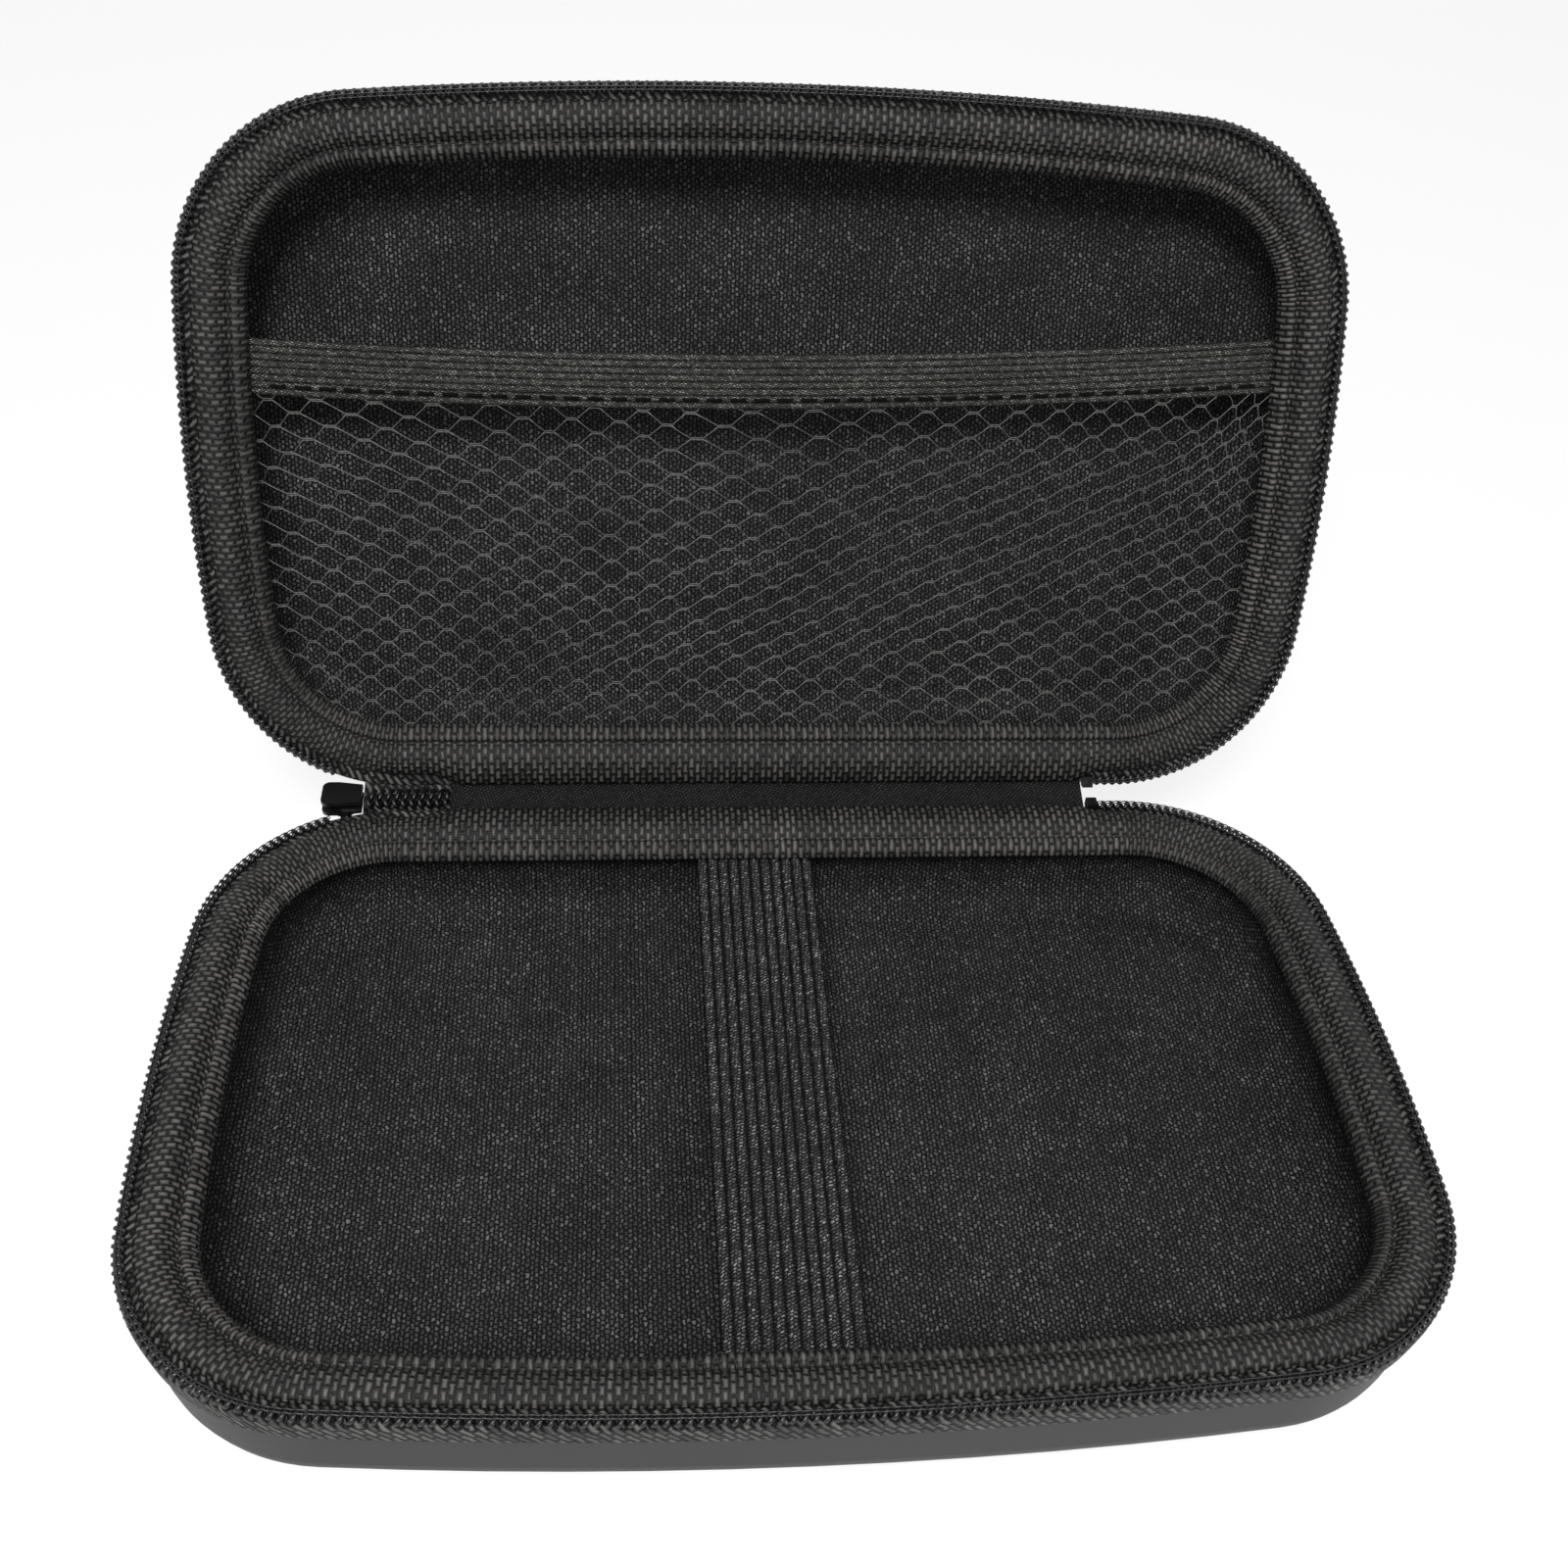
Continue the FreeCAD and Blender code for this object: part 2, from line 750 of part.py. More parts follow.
def build_hinge_outer():
    """Outer strip of the cloth hinge: up the base's rear wall, over to the lid and along it."""
    body = new_body("hinge_outer")
    section = new_sketch(body, "hinge_outer_section", "YZ_Plane", offset=-HINGE_LEFT)
    cloth = size("hinge_cloth")
    wall = size("shell_inset") - GAP
    turn = wall - cloth
    wrap = size("hinge_wrap")
    low = TAPE_FOOT + cloth * 2
    lean = (wrap - SHELL_TOP) * SLOPE
    start = (low - SHELL_TOP) * SLOPE
    draw_loop(
        section,
        [
            on_base(wall + lean, wrap),
            on_base(wall + start, low),
            on_lid(wall + start, low),
            on_lid(wall + lean, wrap),
            on_lid(turn + lean, wrap),
            on_lid(turn + start, low + cloth),
            on_base(turn + start, low + cloth * 2),
            on_base(turn + lean, wrap),
        ],
    )
    add_pad(body, "hinge_outer_strip", section, HINGE_LEFT + HINGE_RIGHT)
    return body


def build_hinge_inner():
    """Inner strip of the cloth hinge: from under the base's binding to under the lid's."""
    body = new_body("hinge_inner")
    section = new_sketch(body, "hinge_inner_section", "YZ_Plane", offset=-HINGE_LEFT)
    cloth = size("hinge_cloth")
    tuck = size("binding_inset") + size("tape_tuck")
    top = TAPE_TOP
    foot = TAPE_TOP + cloth
    lip = size("tape_inset")
    draw_loop(
        section,
        [
            on_base(tuck, top),
            on_base(tuck, foot),
            on_base(lip, foot),
            on_lid(lip, foot),
            on_lid(tuck, foot),
            on_lid(tuck, top),
            on_lid(lip + cloth, top),
            on_base(lip + cloth, top),
        ],
    )
    add_pad(body, "hinge_inner_strip", section, HINGE_LEFT + HINGE_RIGHT)
    return body


def build_zip_chain():
    """Closed end of the zipper, where both coils stay locked together beside the hinge."""
    body = new_body("zip_chain")
    end = HINGE_LEFT + CLOTH_GAP
    section = new_sketch(body, "zip_chain_section", "YZ_Plane", offset=-end)
    shift = size("chain_shift")
    half = size("chain_width") / 2
    thick = size("chain_height") / 2
    draw_loop(
        section,
        [
            (shift - half, -thick),
            (shift + half, -thick, (shift + half + size("chain_bulge"), ZERO)),
            (shift + half, thick),
            (shift - half, thick, (shift - half - size("chain_bulge"), ZERO)),
        ],
    )
    add_pad(body, "zip_chain_bar", section, size("chain_length"), down=True)
    return body


SLIDER_X = -(HINGE_LEFT + CLOTH_GAP * 2 + size("chain_length") + size("slider_length") / 2)
SLIDER_HALF = size("slider_channel") / 2 + size("slider_plate")
PIN_Z = -(SLIDER_HALF + size("bail_drop") / 2 - size("bail_wall") / 2)


def slider_outline(sketch):
    """Outline of a slider plate: wide with round corners at the nose, narrow at the tail."""
    nose = size("slider_nose") / 2
    tail = size("slider_tail") / 2
    half = size("slider_length") / 2
    waist = size("slider_waist")
    corner = size("slider_round")
    nook = corner * QUARTER_NOOK
    draw_loop(
        sketch,
        [
            (half, -tail),
            (half, tail),
            (-waist, nose),
            (-half + corner, nose, (-half + nook, nose - nook)),
            (-half, nose - corner),
            (-half, -nose + corner, (-half + nook, -nose + nook)),
            (-half + corner, -nose),
            (-waist, -nose),
        ],
    )


def build_zip_slider():
    """Slider: two plates joined by a nose post, side flanges, and a bail for the pull."""
    body = new_body("zip_slider")
    plate = size("slider_plate")
    channel = size("slider_channel")
    lower = new_sketch(body, "slider_outer_outline", offset=-SLIDER_HALF)
    slider_outline(lower)
    add_pad(body, "slider_outer_plate", lower, plate)
    doc.recompute()
    post = new_sketch(body, "slider_post_outline", offset=-(channel / 2))
    half = size("slider_length") / 2
    wide = size("slider_post") / 2
    front = size("slider_post_inset") - half
    draw_loop(
        post,
        [
            (front, ZERO),
            (front + wide, -wide),
            (front + size("slider_post_length"), ZERO),
            (front + wide, wide),
        ],
    )
    add_pad(body, "slider_nose_post", post, channel)
    doc.recompute()
    upper = new_sketch(body, "slider_inner_outline", offset=channel / 2)
    slider_outline(upper)
    add_pad(body, "slider_inner_plate", upper, plate)
    doc.recompute()
    tail = size("slider_tail") / 2
    flange = size("slider_flange")
    for name, sign, level in (
        ("left_lower", 1, -(channel / 2)),
        ("right_lower", -1, -(channel / 2)),
        ("left_upper", 1, channel / 2 - flange / 2),
        ("right_upper", -1, channel / 2 - flange / 2),
    ):
        rail = new_sketch(body, "slider_rail_" + name, offset=level)
        hand = Size(sign, str(sign))
        draw_loop(
            rail,
            [
                (ZERO, hand * (tail - flange)),
                (half, hand * (tail - flange)),
                (half, hand * tail),
                (ZERO, hand * tail),
            ],
        )
        add_pad(body, "slider_flange_" + name, rail, flange / 2)
        doc.recompute()
    arch = new_sketch(body, "slider_bail_outline", "XZ_Plane")
    reach = size("bail_length") / 2
    depth = SLIDER_HALF + size("bail_drop")
    wall = size("bail_wall")
    draw_loop(
        arch,
        [
            (-reach, -(SLIDER_HALF - plate / 2)),
            (-reach, -(depth - wall)),
            (-(reach - wall), -depth),
            (reach - wall, -depth),
            (reach, -(depth - wall)),
            (reach, -(SLIDER_HALF - plate / 2)),
        ],
    )
    add_pad(body, "slider_bail", arch, size("bail_thick"), both=True)
    doc.recompute()
    window = new_sketch(body, "slider_bail_window", "XZ_Plane")
    draw_loop(
        window,
        [
            (-(reach - wall), -SLIDER_HALF),
            (-(reach - wall), -(depth - wall)),
            (reach - wall, -(depth - wall)),
            (reach - wall, -SLIDER_HALF),
        ],
    )
    add_pocket(body, "slider_bail_eye", window, size("bail_thick") + wall, both=True)
    return body


def build_zip_pull():
    """Pull: a flat tab with an eye, whose round cross bar lies in the slider's bail."""
    body = new_body("zip_pull")
    half = size("pull_width") / 2
    neck = size("pull_neck") / 2
    shoulder = size("pull_shoulder")
    eye = size("bail_thick") / 2 + CLOTH_GAP
    eye_foot = size("pull_eye")
    length = size("pull_length")
    outline = new_sketch(body, "pull_outline", "YZ_Plane")
    draw_loop(
        outline,
        [
            (-neck, ZERO),
            (-neck, -eye_foot),
            (-half, -shoulder),
            (-half, -(length - half), (ZERO, -length)),
            (half, -(length - half)),
            (half, -shoulder),
            (neck, -eye_foot),
            (neck, ZERO),
        ],
    )
    tab = add_pad(body, "pull_tab", outline, size("pull_thick"), both=True)
    doc.recompute()
    window = new_sketch(body, "pull_eye_outline", "YZ_Plane")
    draw_loop(
        window,
        [
            (-eye, size("pin_size")),
            (eye, size("pin_size")),
            (eye, -eye_foot),
            (-eye, -eye_foot),
        ],
    )
    add_pocket(body, "pull_eye_cut", window, size("pull_thick") * 2, both=True)
    doc.recompute()
    bar = new_sketch(body, "pull_bar_circle", "XZ_Plane")
    circle = bar.addGeometry(
        Part.Circle(Vector(0, 0, 0), Vector(0, 0, 1), size("pin_size").number / 2)
    )
    bar.addConstraint(Sketcher.Constraint("Coincident", circle, 3, -1, 1))
    hold(bar, "Radius", (circle,), size("pin_size") / 2)
    add_pad(body, "pull_bar", bar, eye * 2 + GAP * 2, both=True)
    doc.recompute()
    hole = new_sketch(body, "pull_grip_slot", "YZ_Plane")
    slot = size("pull_slot") / 2
    low = size("pull_slot_foot")
    high = size("pull_slot_top")
    draw_loop(
        hole,
        [
            (-slot, -high),
            (-slot, -low),
            (slot, -low),
            (slot, -high),
        ],
    )
    add_pocket(body, "pull_slot_cut", hole, size("pull_thick") * 2, both=True)
    return body


# Pocket in the lid. Its y runs from the mouth's front edge (negative) to the hinge (positive).
NET_TOP = LIP_BOTTOM + CLOTH_GAP
BAND_LOW = -(size("band_place") - size("band_width") / 2)
BAND_HIGH = -(size("band_place") + size("band_width") / 2)


def side_reach(inset, place):
    """Distance from the middle to the side edge of the outline, moved inward by inset, at one
    distance along the case."""
    radius = SIDE_RADIUS - inset
    square = radius * radius - place * place
    root = Size(math.sqrt(square.number), "sqrt(%s)" % square.text)
    return SIDE_CENTRE + root


def build_pocket_band():
    """Ribbed elastic band that hems the open edge of the pocket."""
    body = new_body("pocket_band")
    outline = new_sketch(body, "pocket_band_outline", offset=-NET_TOP)
    inset = size("net_edge")
    low = side_reach(inset, BAND_LOW)
    high = side_reach(inset, BAND_HIGH)
    draw_loop(
        outline,
        [
            (-high, BAND_HIGH),
            (high, BAND_HIGH),
            (low, BAND_LOW),
            (-low, BAND_LOW),
        ],
    )
    band = add_pad(body, "pocket_band_strip", outline, size("band_thick"), down=True)
    doc.recompute()
    grooves = new_sketch(body, "pocket_band_grooves", offset=-NET_TOP)
    pitch = size("band_rib_pitch")
    half = size("rib_groove") / 2
    reach = high - pitch
    room = size("band_width").number - size("stitch_margin").number - size("stitch_width").number
    for number in range(1, int(room / pitch.number) + 1):
        line = BAND_HIGH + pitch * number
        draw_loop(
            grooves,
            [
                (-reach, line - half),
                (reach, line - half),
                (reach, line + half),
                (-reach, line + half),
            ],
        )
    cut = add_pocket(body, "pocket_band_ribs", grooves, size("rib_depth"))
    doc.recompute()
    if cut.Shape.Volume >= band.Shape.Volume:
        raise ValueError("the rib grooves of the band cut nothing")
    return body


def net_holds(x, y, margin):
    """True where a point lies inside the net by at least margin."""
    inset = size("net_edge").number + margin
    if y > HALF_DEPTH.number - inset:
        return False
    if y < BAND_LOW.number + margin:
        return False
    side = SIDE_RADIUS.number - inset
    if math.hypot(abs(x) - SIDE_CENTRE.number, y) > side:
        return False
    in_corner = abs(x) > REAR_CORNER.x and y > REAR_CORNER.y
    corner = CORNER.number - inset
    return not in_corner or math.hypot(abs(x) - REAR_CORNER.x, y - REAR_CORNER.y) < corner


def build_pocket_net():
    """Net of the pocket: one sheet with six-sided meshes, hemmed all round."""
    body = new_body("pocket_net")
    outline = new_sketch(body, "pocket_net_outline", offset=-NET_TOP)
    inset = size("net_edge")
    low = BAND_LOW + GAP * 2
    reach = side_reach(inset, low)
    rear_line = rear(inset)
    right = add_arc(
        outline, SIDE_POINT, SIDE_RADIUS - inset,
        math.asin(low.number / (SIDE_RADIUS - inset).number), REAR_TURN, 1
    )
    pin(outline, right[0], 3, SIDE_CENTRE, ZERO)
    right_corner = add_arc(outline, REAR_CORNER, CORNER - inset, REAR_TURN, math.pi / 2, 1)
    back = outline.addGeometry(
        Part.LineSegment(
            Vector(REAR_CORNER.x, rear_line.number, 0), Vector(-REAR_CORNER.x, rear_line.number, 0)
        )
    )
    left_corner = add_arc(outline, REAR_CORNER, CORNER - inset, REAR_TURN, math.pi / 2, -1)
    left = add_arc(
        outline, SIDE_POINT, SIDE_RADIUS - inset,
        math.asin(low.number / (SIDE_RADIUS - inset).number), REAR_TURN, -1
    )
    pin(outline, left[0], 3, -SIDE_CENTRE, ZERO)
    front = outline.addGeometry(
        Part.LineSegment(Vector(-reach.number, low.number, 0), Vector(reach.number, low.number, 0))
    )
    outline.addConstraint(Sketcher.Constraint("Tangent", right[0], 2, right_corner[0], 1))
    outline.addConstraint(Sketcher.Constraint("Tangent", right_corner[0], 2, back, 1))
    outline.addConstraint(Sketcher.Constraint("Tangent", back, 2, left_corner[0], 1))
    outline.addConstraint(Sketcher.Constraint("Tangent", left_corner[0], 2, left[0], 1))
    outline.addConstraint(Sketcher.Constraint("Coincident", left[0], 2, front, 1))
    outline.addConstraint(Sketcher.Constraint("Coincident", front, 2, right[0], 1))
    hold(outline, "DistanceY", (-1, 1, right[0], 1), low)
    hold(outline, "DistanceY", (-1, 1, left[0], 2), low)
    outline.addConstraint(Sketcher.Constraint("Horizontal", back))
    cell = size("net_cell").number
    bar = size("net_cord").number
    hem = size("net_hem").number
    radius = (cell - bar) / math.sqrt(3)
    row_step = cell * math.sqrt(3) / 2
    rows = int(size("case_depth").number / row_step)
    columns = int(size("case_width").number / cell)
    for row in range(-rows, rows + 1):
        shift = cell / 2 if row % 2 else 0.0
        for column in range(-columns, columns + 1):
            x = column * cell + shift
            y = row * row_step
            points = [
                Vector(
                    x + radius * math.cos(math.radians(60 * turn + 30)),
                    y + radius * math.sin(math.radians(60 * turn + 30)),
                    0,
                )
                for turn in range(6)
            ]
            if all(net_holds(point.x, point.y, hem) for point in points):
                for turn in range(6):
                    outline.addGeometry(
                        Part.LineSegment(points[turn], points[(turn + 1) % 6])
                    )
    add_pad(body, "pocket_net_sheet", outline, size("net_thick"), down=True)
    return body


def build_pocket_stitches():
    """Running stitches along the band, each one a short bar of thread on its face."""
    body = new_body("pocket_stitches")
    first = new_sketch(body, "stitch_outline", offset=-NET_TOP)
    line = BAND_LOW - size("stitch_margin")
    span = side_reach(size("net_edge"), BAND_LOW) * 2 - size("stitch_pitch")
    count = int(span.number / size("stitch_pitch").number)
    half = size("stitch_length") / 2
    wide = size("stitch_width") / 2
    centre = -(size("stitch_pitch") * (count - 1)) / 2
    draw_loop(
        first,
        [
            (centre - half, line - wide),
            (centre + half, line - wide),
            (centre + half, line + wide),
            (centre - half, line + wide),
        ],
    )
    stitch = add_pad(body, "stitch", first, size("stitch_height"))
    doc.recompute()
    repeat_along_x(body, "stitch_row", stitch, size("stitch_pitch"), count)
    return body


def lid_placement():
    """Turn the mouth-up half over onto the base, then swing it open about the hinge line."""
    angle = size("opening_angle").number
    line = Vector(0, HINGE_Y.number, HINGE_Z.number)
    over = Placement(Vector(0, 0, size("half_height").number), Rotation(Vector(0, 1, 0), 180))
    swing = Placement(Vector(0, 0, 0), Rotation(Vector(1, 0, 0), -angle), line)
    return swing.multiply(over)


base_halves = [
    build_shell("base"),
    build_lining("base"),
    build_binding("base"),
    build_zip_tape("base", 1),
    build_zip_coil("base", 1),
    build_zip_stop("base", 1),
    build_strap(),
]
for body in base_halves:
    body.Placement = Placement(Vector(0, 0, size("half_height").number), Rotation())
    body.setExpression("Placement.Base.z", size("half_height").text)

lid_halves = [
    build_shell("lid"),
    build_lining("lid"),
    build_binding("lid"),
    build_zip_tape("lid", -1),
    build_zip_coil("lid", -1),
    build_zip_stop("lid", -1),
    build_pocket_band(),
    build_pocket_net(),
    build_pocket_stitches(),
]
for body in lid_halves:
    body.Placement = lid_placement()

hinge_pieces = [
    (build_hinge_outer(), ZERO, ZERO, ZERO),
    (build_hinge_inner(), ZERO, ZERO, ZERO),
    (build_zip_chain(), ZERO, ZERO, ZERO),
    (build_zip_slider(), SLIDER_X, size("chain_shift"), ZERO),
    (build_zip_pull(), SLIDER_X, size("chain_shift"), PIN_Z),
]
for body, along, back, up in hinge_pieces:
    place = (along, HINGE_Y + back, HINGE_Z + up)
    body.Placement = Placement(Vector(*[float(value) for value in place]), Rotation())
    for axis, value in zip("xyz", place):
        body.setExpression("Placement.Base." + axis, value.text)

doc.recompute()

# Nothing is written unless every object is sound.
nodes = base_halves + lid_halves + [piece[0] for piece in hinge_pieces]
for item in doc.Objects:
    if "Invalid" in item.State or "Error" in item.State:
        raise ValueError("%s failed: %s" % (item.Name, item.State))
for body in nodes:
    if body.Shape.isNull() or not body.Shape.isValid() or body.Shape.Volume <= 0:
        raise ValueError("%s has no sound shape" % body.Label)

os.makedirs("parts", exist_ok=True)
for body in nodes:
    body.Shape.exportStep("parts/%s.step" % body.Label)
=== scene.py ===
import json
import math
from types import SimpleNamespace

import bpy
import numpy as np
from mathutils import Matrix, Quaternion, Vector


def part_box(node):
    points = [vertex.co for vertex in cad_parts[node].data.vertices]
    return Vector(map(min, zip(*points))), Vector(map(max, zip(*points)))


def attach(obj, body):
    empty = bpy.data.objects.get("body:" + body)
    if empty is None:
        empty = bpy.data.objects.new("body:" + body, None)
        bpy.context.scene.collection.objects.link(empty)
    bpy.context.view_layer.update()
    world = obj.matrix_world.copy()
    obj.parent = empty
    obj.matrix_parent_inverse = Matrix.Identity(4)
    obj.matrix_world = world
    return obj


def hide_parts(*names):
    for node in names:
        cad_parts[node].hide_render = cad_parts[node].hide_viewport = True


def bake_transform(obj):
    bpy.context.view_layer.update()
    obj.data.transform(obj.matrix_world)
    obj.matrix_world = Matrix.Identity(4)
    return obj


bl_info = {
    "name": "Console Carrying Case",
    "version": (1, 0, 0),
    "blender": (4, 5, 0),
    "location": "View3D > Sidebar > Case",
    "description": "Builds the open zippered case: cloth, binding, zipper, strap, net and studio",
    "category": "Object",
}

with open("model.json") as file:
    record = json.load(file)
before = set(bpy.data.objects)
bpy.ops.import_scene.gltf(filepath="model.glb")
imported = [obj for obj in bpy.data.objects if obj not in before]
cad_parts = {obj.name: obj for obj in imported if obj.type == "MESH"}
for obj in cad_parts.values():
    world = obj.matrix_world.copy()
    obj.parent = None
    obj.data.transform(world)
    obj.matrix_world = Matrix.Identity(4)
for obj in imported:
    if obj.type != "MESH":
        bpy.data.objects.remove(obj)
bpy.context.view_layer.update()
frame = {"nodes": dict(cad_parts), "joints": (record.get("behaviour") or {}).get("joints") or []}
NODES = frame["nodes"]
HINGE = next(joint for joint in frame["joints"] if joint["name"] == "lid_hinge")
# At rest the lid stands open by the travel that closes it.
HINGE_TURN = -math.radians(HINGE["range_deg"][0])

# Lengths below are in millimetres, but those of the studio are in metres.
MM = 0.001
TAU = 2 * math.pi


def linear(code):
    """The linear colour of an sRGB hex code such as "3a3a39"."""
    channels = [int(code[place:place + 2], 16) / 255 for place in (0, 2, 4)]
    return [c / 12.92 if c <= 0.04045 else ((c + 0.055) / 1.055) ** 2.4 for c in channels]


def length(name, default, description):
    """A length that a user may change: given here in millimetres, and held in metres."""
    return bpy.props.FloatProperty(
        name=name, default=default * MM, min=0.01 * MM, precision=5, subtype="DISTANCE",
        unit="LENGTH", description=description,
    )


def colour(name, code, description):
    """A colour that a user may change, given by its sRGB hex code."""
    return bpy.props.FloatVectorProperty(
        name=name, subtype="COLOR", size=3, min=0, max=1, default=linear(code),
        description=description,
    )


class CaseSizes(bpy.types.PropertyGroup):
    """Outline of the case and heights through its rim."""

    width: length("Width", 235.0, "Width of the outline")
    depth: length("Depth", 144.0, "Depth of the outline")
    height: length("Half height", 28.0, "Height of one half")
    corner: length("Corner radius", 38.4, "Radius of the outline's corners")
    side_bow: length("Side bow", 5.5, "Rise of the sides' bow")
    front_bow: length("Front bow", 7.2, "Rise of the front's bow")
    wall: length("Wall", 6.9, "From the outline to the inner face of the foam")
    lip: length("Lip", 13.9, "From the outline to the inner edge of the binding")
    hinge_left: length("Hinge left", 68.0, "Reach of the cloth hinge to the left")
    hinge_right: length("Hinge right", 71.0, "Reach of the cloth hinge to the right")
    coil_end: length("Coil end", 93.0, "Distance from the middle where the coils meet the slider")


class CasePatterns(bpy.types.PropertyGroup):
    """Pitch of threads, ribs, teeth and stitches."""

    ribbon: length("Ribbon rib", 1.3, "Pitch of the ribs of the binding ribbon")
    tooth: length("Tooth", 1.8, "Pitch of the zipper's coil")
    wale: length("Knit wale", 0.85, "Pitch of the lining's wales")
    twill: length("Twill", 1.35, "Pitch of the tape's twill lines")
    strap_rib: length("Strap rib", 2.227, "Pitch of the strap's ribs")
    band_rib: length("Band rib", 1.375, "Pitch of the band's ribs")
    mesh_column: length("Net column", 4.25, "Pitch of the net's columns")
    mesh_row: length("Net row", 5.3, "Pitch of the net's rows")
    stitch: length("Stitch", 4.8, "Pitch of the running stitches")


class CaseColours(bpy.types.PropertyGroup):
    """Base colours of the finishes."""

    shell: colour("Shell", "2e2e2e", "Coated foam of the outer shells")
    knit: colour("Knit", "090909", "Ground of the lining")
    # Painted highlight: the lighter colour of the lining's loops that glint.
    knit_painted_glint: colour("Knit glint", "6e6e6e", "Loops of the lining that catch the light")
    ribbon: colour("Ribbon", "060606", "Ground of the binding")
    # Painted highlight: the lighter colour of the binding's raised threads, over its own black.
    ribbon_rib_glint: colour("Ribbon rib", "5e5c5a", "Raised threads of the binding")
    tape: colour("Tape", "0c0c0d", "Ground of the zipper tape")
    # Painted sheen: the grey of the tape's raised twill lines.
    tape_line_sheen: colour("Tape line", "6c6c69", "Raised lines of the zipper tape")
    # Painted highlight: the lighter colour of the hinge strips' threads.
    hinge_thread_glint: colour("Hinge thread", "393937", "Threads of the hinge strips")
    nylon: colour("Nylon", "0f0f10", "Coil of the zipper")
    metal: colour("Metal", "101010", "Enamel of the slider, its pull and the stops")
    elastic: colour("Elastic", "080808", "Ground of the strap")
    # Painted highlight: the bright specks on the strap's black ribs.
    elastic_rib_glint: colour("Elastic rib", "989898", "Ribs of the strap")
    band: colour("Band", "131311", "Ground of the pocket's band")
    # Partly the band's own grey and partly painted highlight on its ribs.
    band_rib: colour("Band rib", "868680", "Ribs of the pocket's band")
    thread: colour("Thread", "5a5957", "Thread of the net")
    # The thread's own black, made darker as painted shade of the dips where stitches pull into the
    # band.
    stitch: colour("Stitch", "040404", "Thread of the seams")
    floor: colour("Floor", "f4f4f4", "Floor of the studio")


def in_millimetres(group):
    """The lengths of a group, in millimetres."""
    return SimpleNamespace(**{key: getattr(group, key) / MM for key in group.__annotations__})


def sizes():
    return in_millimetres(bpy.context.scene.case_sizes)


def patterns():
    return in_millimetres(bpy.context.scene.case_patterns)


def colours():
    return bpy.context.scene.case_colours


# Outline

class Outline:
    """The rim seen from its mouth: a straight rear, round corners and bowed sides and front.
    A place on it is the distance travelled from the middle of the rear, first to the right.
    Every arc keeps its centre when the outline moves inward, so a point at an inset is the
    point on the outline plus the inset times the inward normal."""

    def __init__(self):
        case = sizes()
        half_width, half_depth = case.width / 2, case.depth / 2
        side = self.bowed(half_depth, case.side_bow)
        front = self.bowed(half_width, case.front_bow)
        corner = case.corner
        side_x = half_width - side
        front_y = front - half_depth
        corner_y = half_depth - corner
        rear = complex(side_x + math.sqrt((side - corner) ** 2 - corner_y**2), corner_y)
        self.corner_x = rear.real
        self.corner_y = corner_y
        apart = complex(side_x, -front_y)
        span = abs(apart)
        foot = ((front - corner) ** 2 - (side - corner) ** 2 + span**2) / (2 * span)
        rise = math.sqrt((front - corner) ** 2 - foot**2)
        along = apart / span
        near = complex(0, front_y) + along * complex(foot, rise)
        turn = {
            "rear": self.heading(rear, complex(side_x, 0)),
            "side": self.heading(near, complex(side_x, 0)),
            "front": self.heading(near, complex(0, front_y)),
        }
        flip = -math.pi
        arcs = [
            (rear, corner, math.pi / 2, turn["rear"]),
            (complex(side_x, 0), side, turn["rear"], turn["side"]),
            (near, corner, turn["side"], turn["front"]),
            (complex(0, front_y), front, turn["front"], flip - turn["front"]),
            (complex(-near.real, near.imag), corner, flip - turn["front"], flip - turn["side"]),
            (complex(-side_x, 0), side, flip - turn["side"], flip - turn["rear"]),
            (complex(-rear.real, corner_y), corner, flip - turn["rear"], flip - math.pi / 2),
        ]
        self.arcs = arcs
        self.rear_y = half_depth
        lengths = [radius * (first - last) for _, radius, first, last in arcs]
        self.starts = np.cumsum([self.corner_x] + lengths)
        self.length = float(self.starts[-1] + self.corner_x)

    @staticmethod
    def bowed(half_chord, bow):
        return (half_chord**2 + bow**2) / (2 * bow)

    @staticmethod
    def heading(point, centre):
        return math.atan2(point.imag - centre.imag, point.real - centre.real)

    def at(self, place):
        """Points and inward normals, as two arrays of pairs, at the given distances."""
        place = np.mod(np.asarray(place, float), self.length)
        points = np.zeros(place.shape + (2,))
        normals = np.zeros(place.shape + (2,))
        straight_x = np.where(place < self.length / 2, place, place - self.length)
        points[..., 0] = straight_x
        points[..., 1] = self.rear_y
        normals[..., 1] = -1
        for (centre, radius, first, _), start, end in zip(self.arcs, self.starts, self.starts[1:]):
            here = (place >= start) & (place < end)
            angle = first - (place[here] - start) / radius
            ray = np.stack([np.cos(angle), np.sin(angle)], -1)
            points[here] = np.array([centre.real, centre.imag]) + radius * ray
            normals[here] = -ray
        return points, normals

    def corner_place(self, across):
        """Place on the first corner where the outline is that far from the middle."""
        radius = self.arcs[0][1]
        return self.corner_x + radius * math.asin((across - self.corner_x) / radius)

    def wander(self, place, swing, seed):
        """A slow even unevenness along the rim: five sine waves with whole periods."""
        chance = np.random.default_rng(seed)
        total = np.zeros_like(place)
        for waves in (7, 11, 17, 23, 37):
            phase = chance.uniform(0, TAU)
            total += np.sin(TAU * waves * place / self.length + phase) / waves**0.5
        # The five together reach about 1.2.
        return swing * total / 1.2


def rim(outline, place, inset, drop):
    """Points of a profile carried along the outline. inset and drop are arrays with one row
    for each place: how far each point lies inside the outline, and below the parting plane."""
    points, normals = outline.at(place)
    across = points[:, None, :] + inset[..., None] * normals[:, None, :]
    return np.concatenate([across, -drop[..., None]], -1)


def in_case(points):
    """From the case's own millimetres to metres."""
    return points * MM


def in_base(points):
    """From a half's own millimetres, mouth up, to the case's metres, in the base."""
    return in_case(points + np.array([0, 0, sizes().height]))


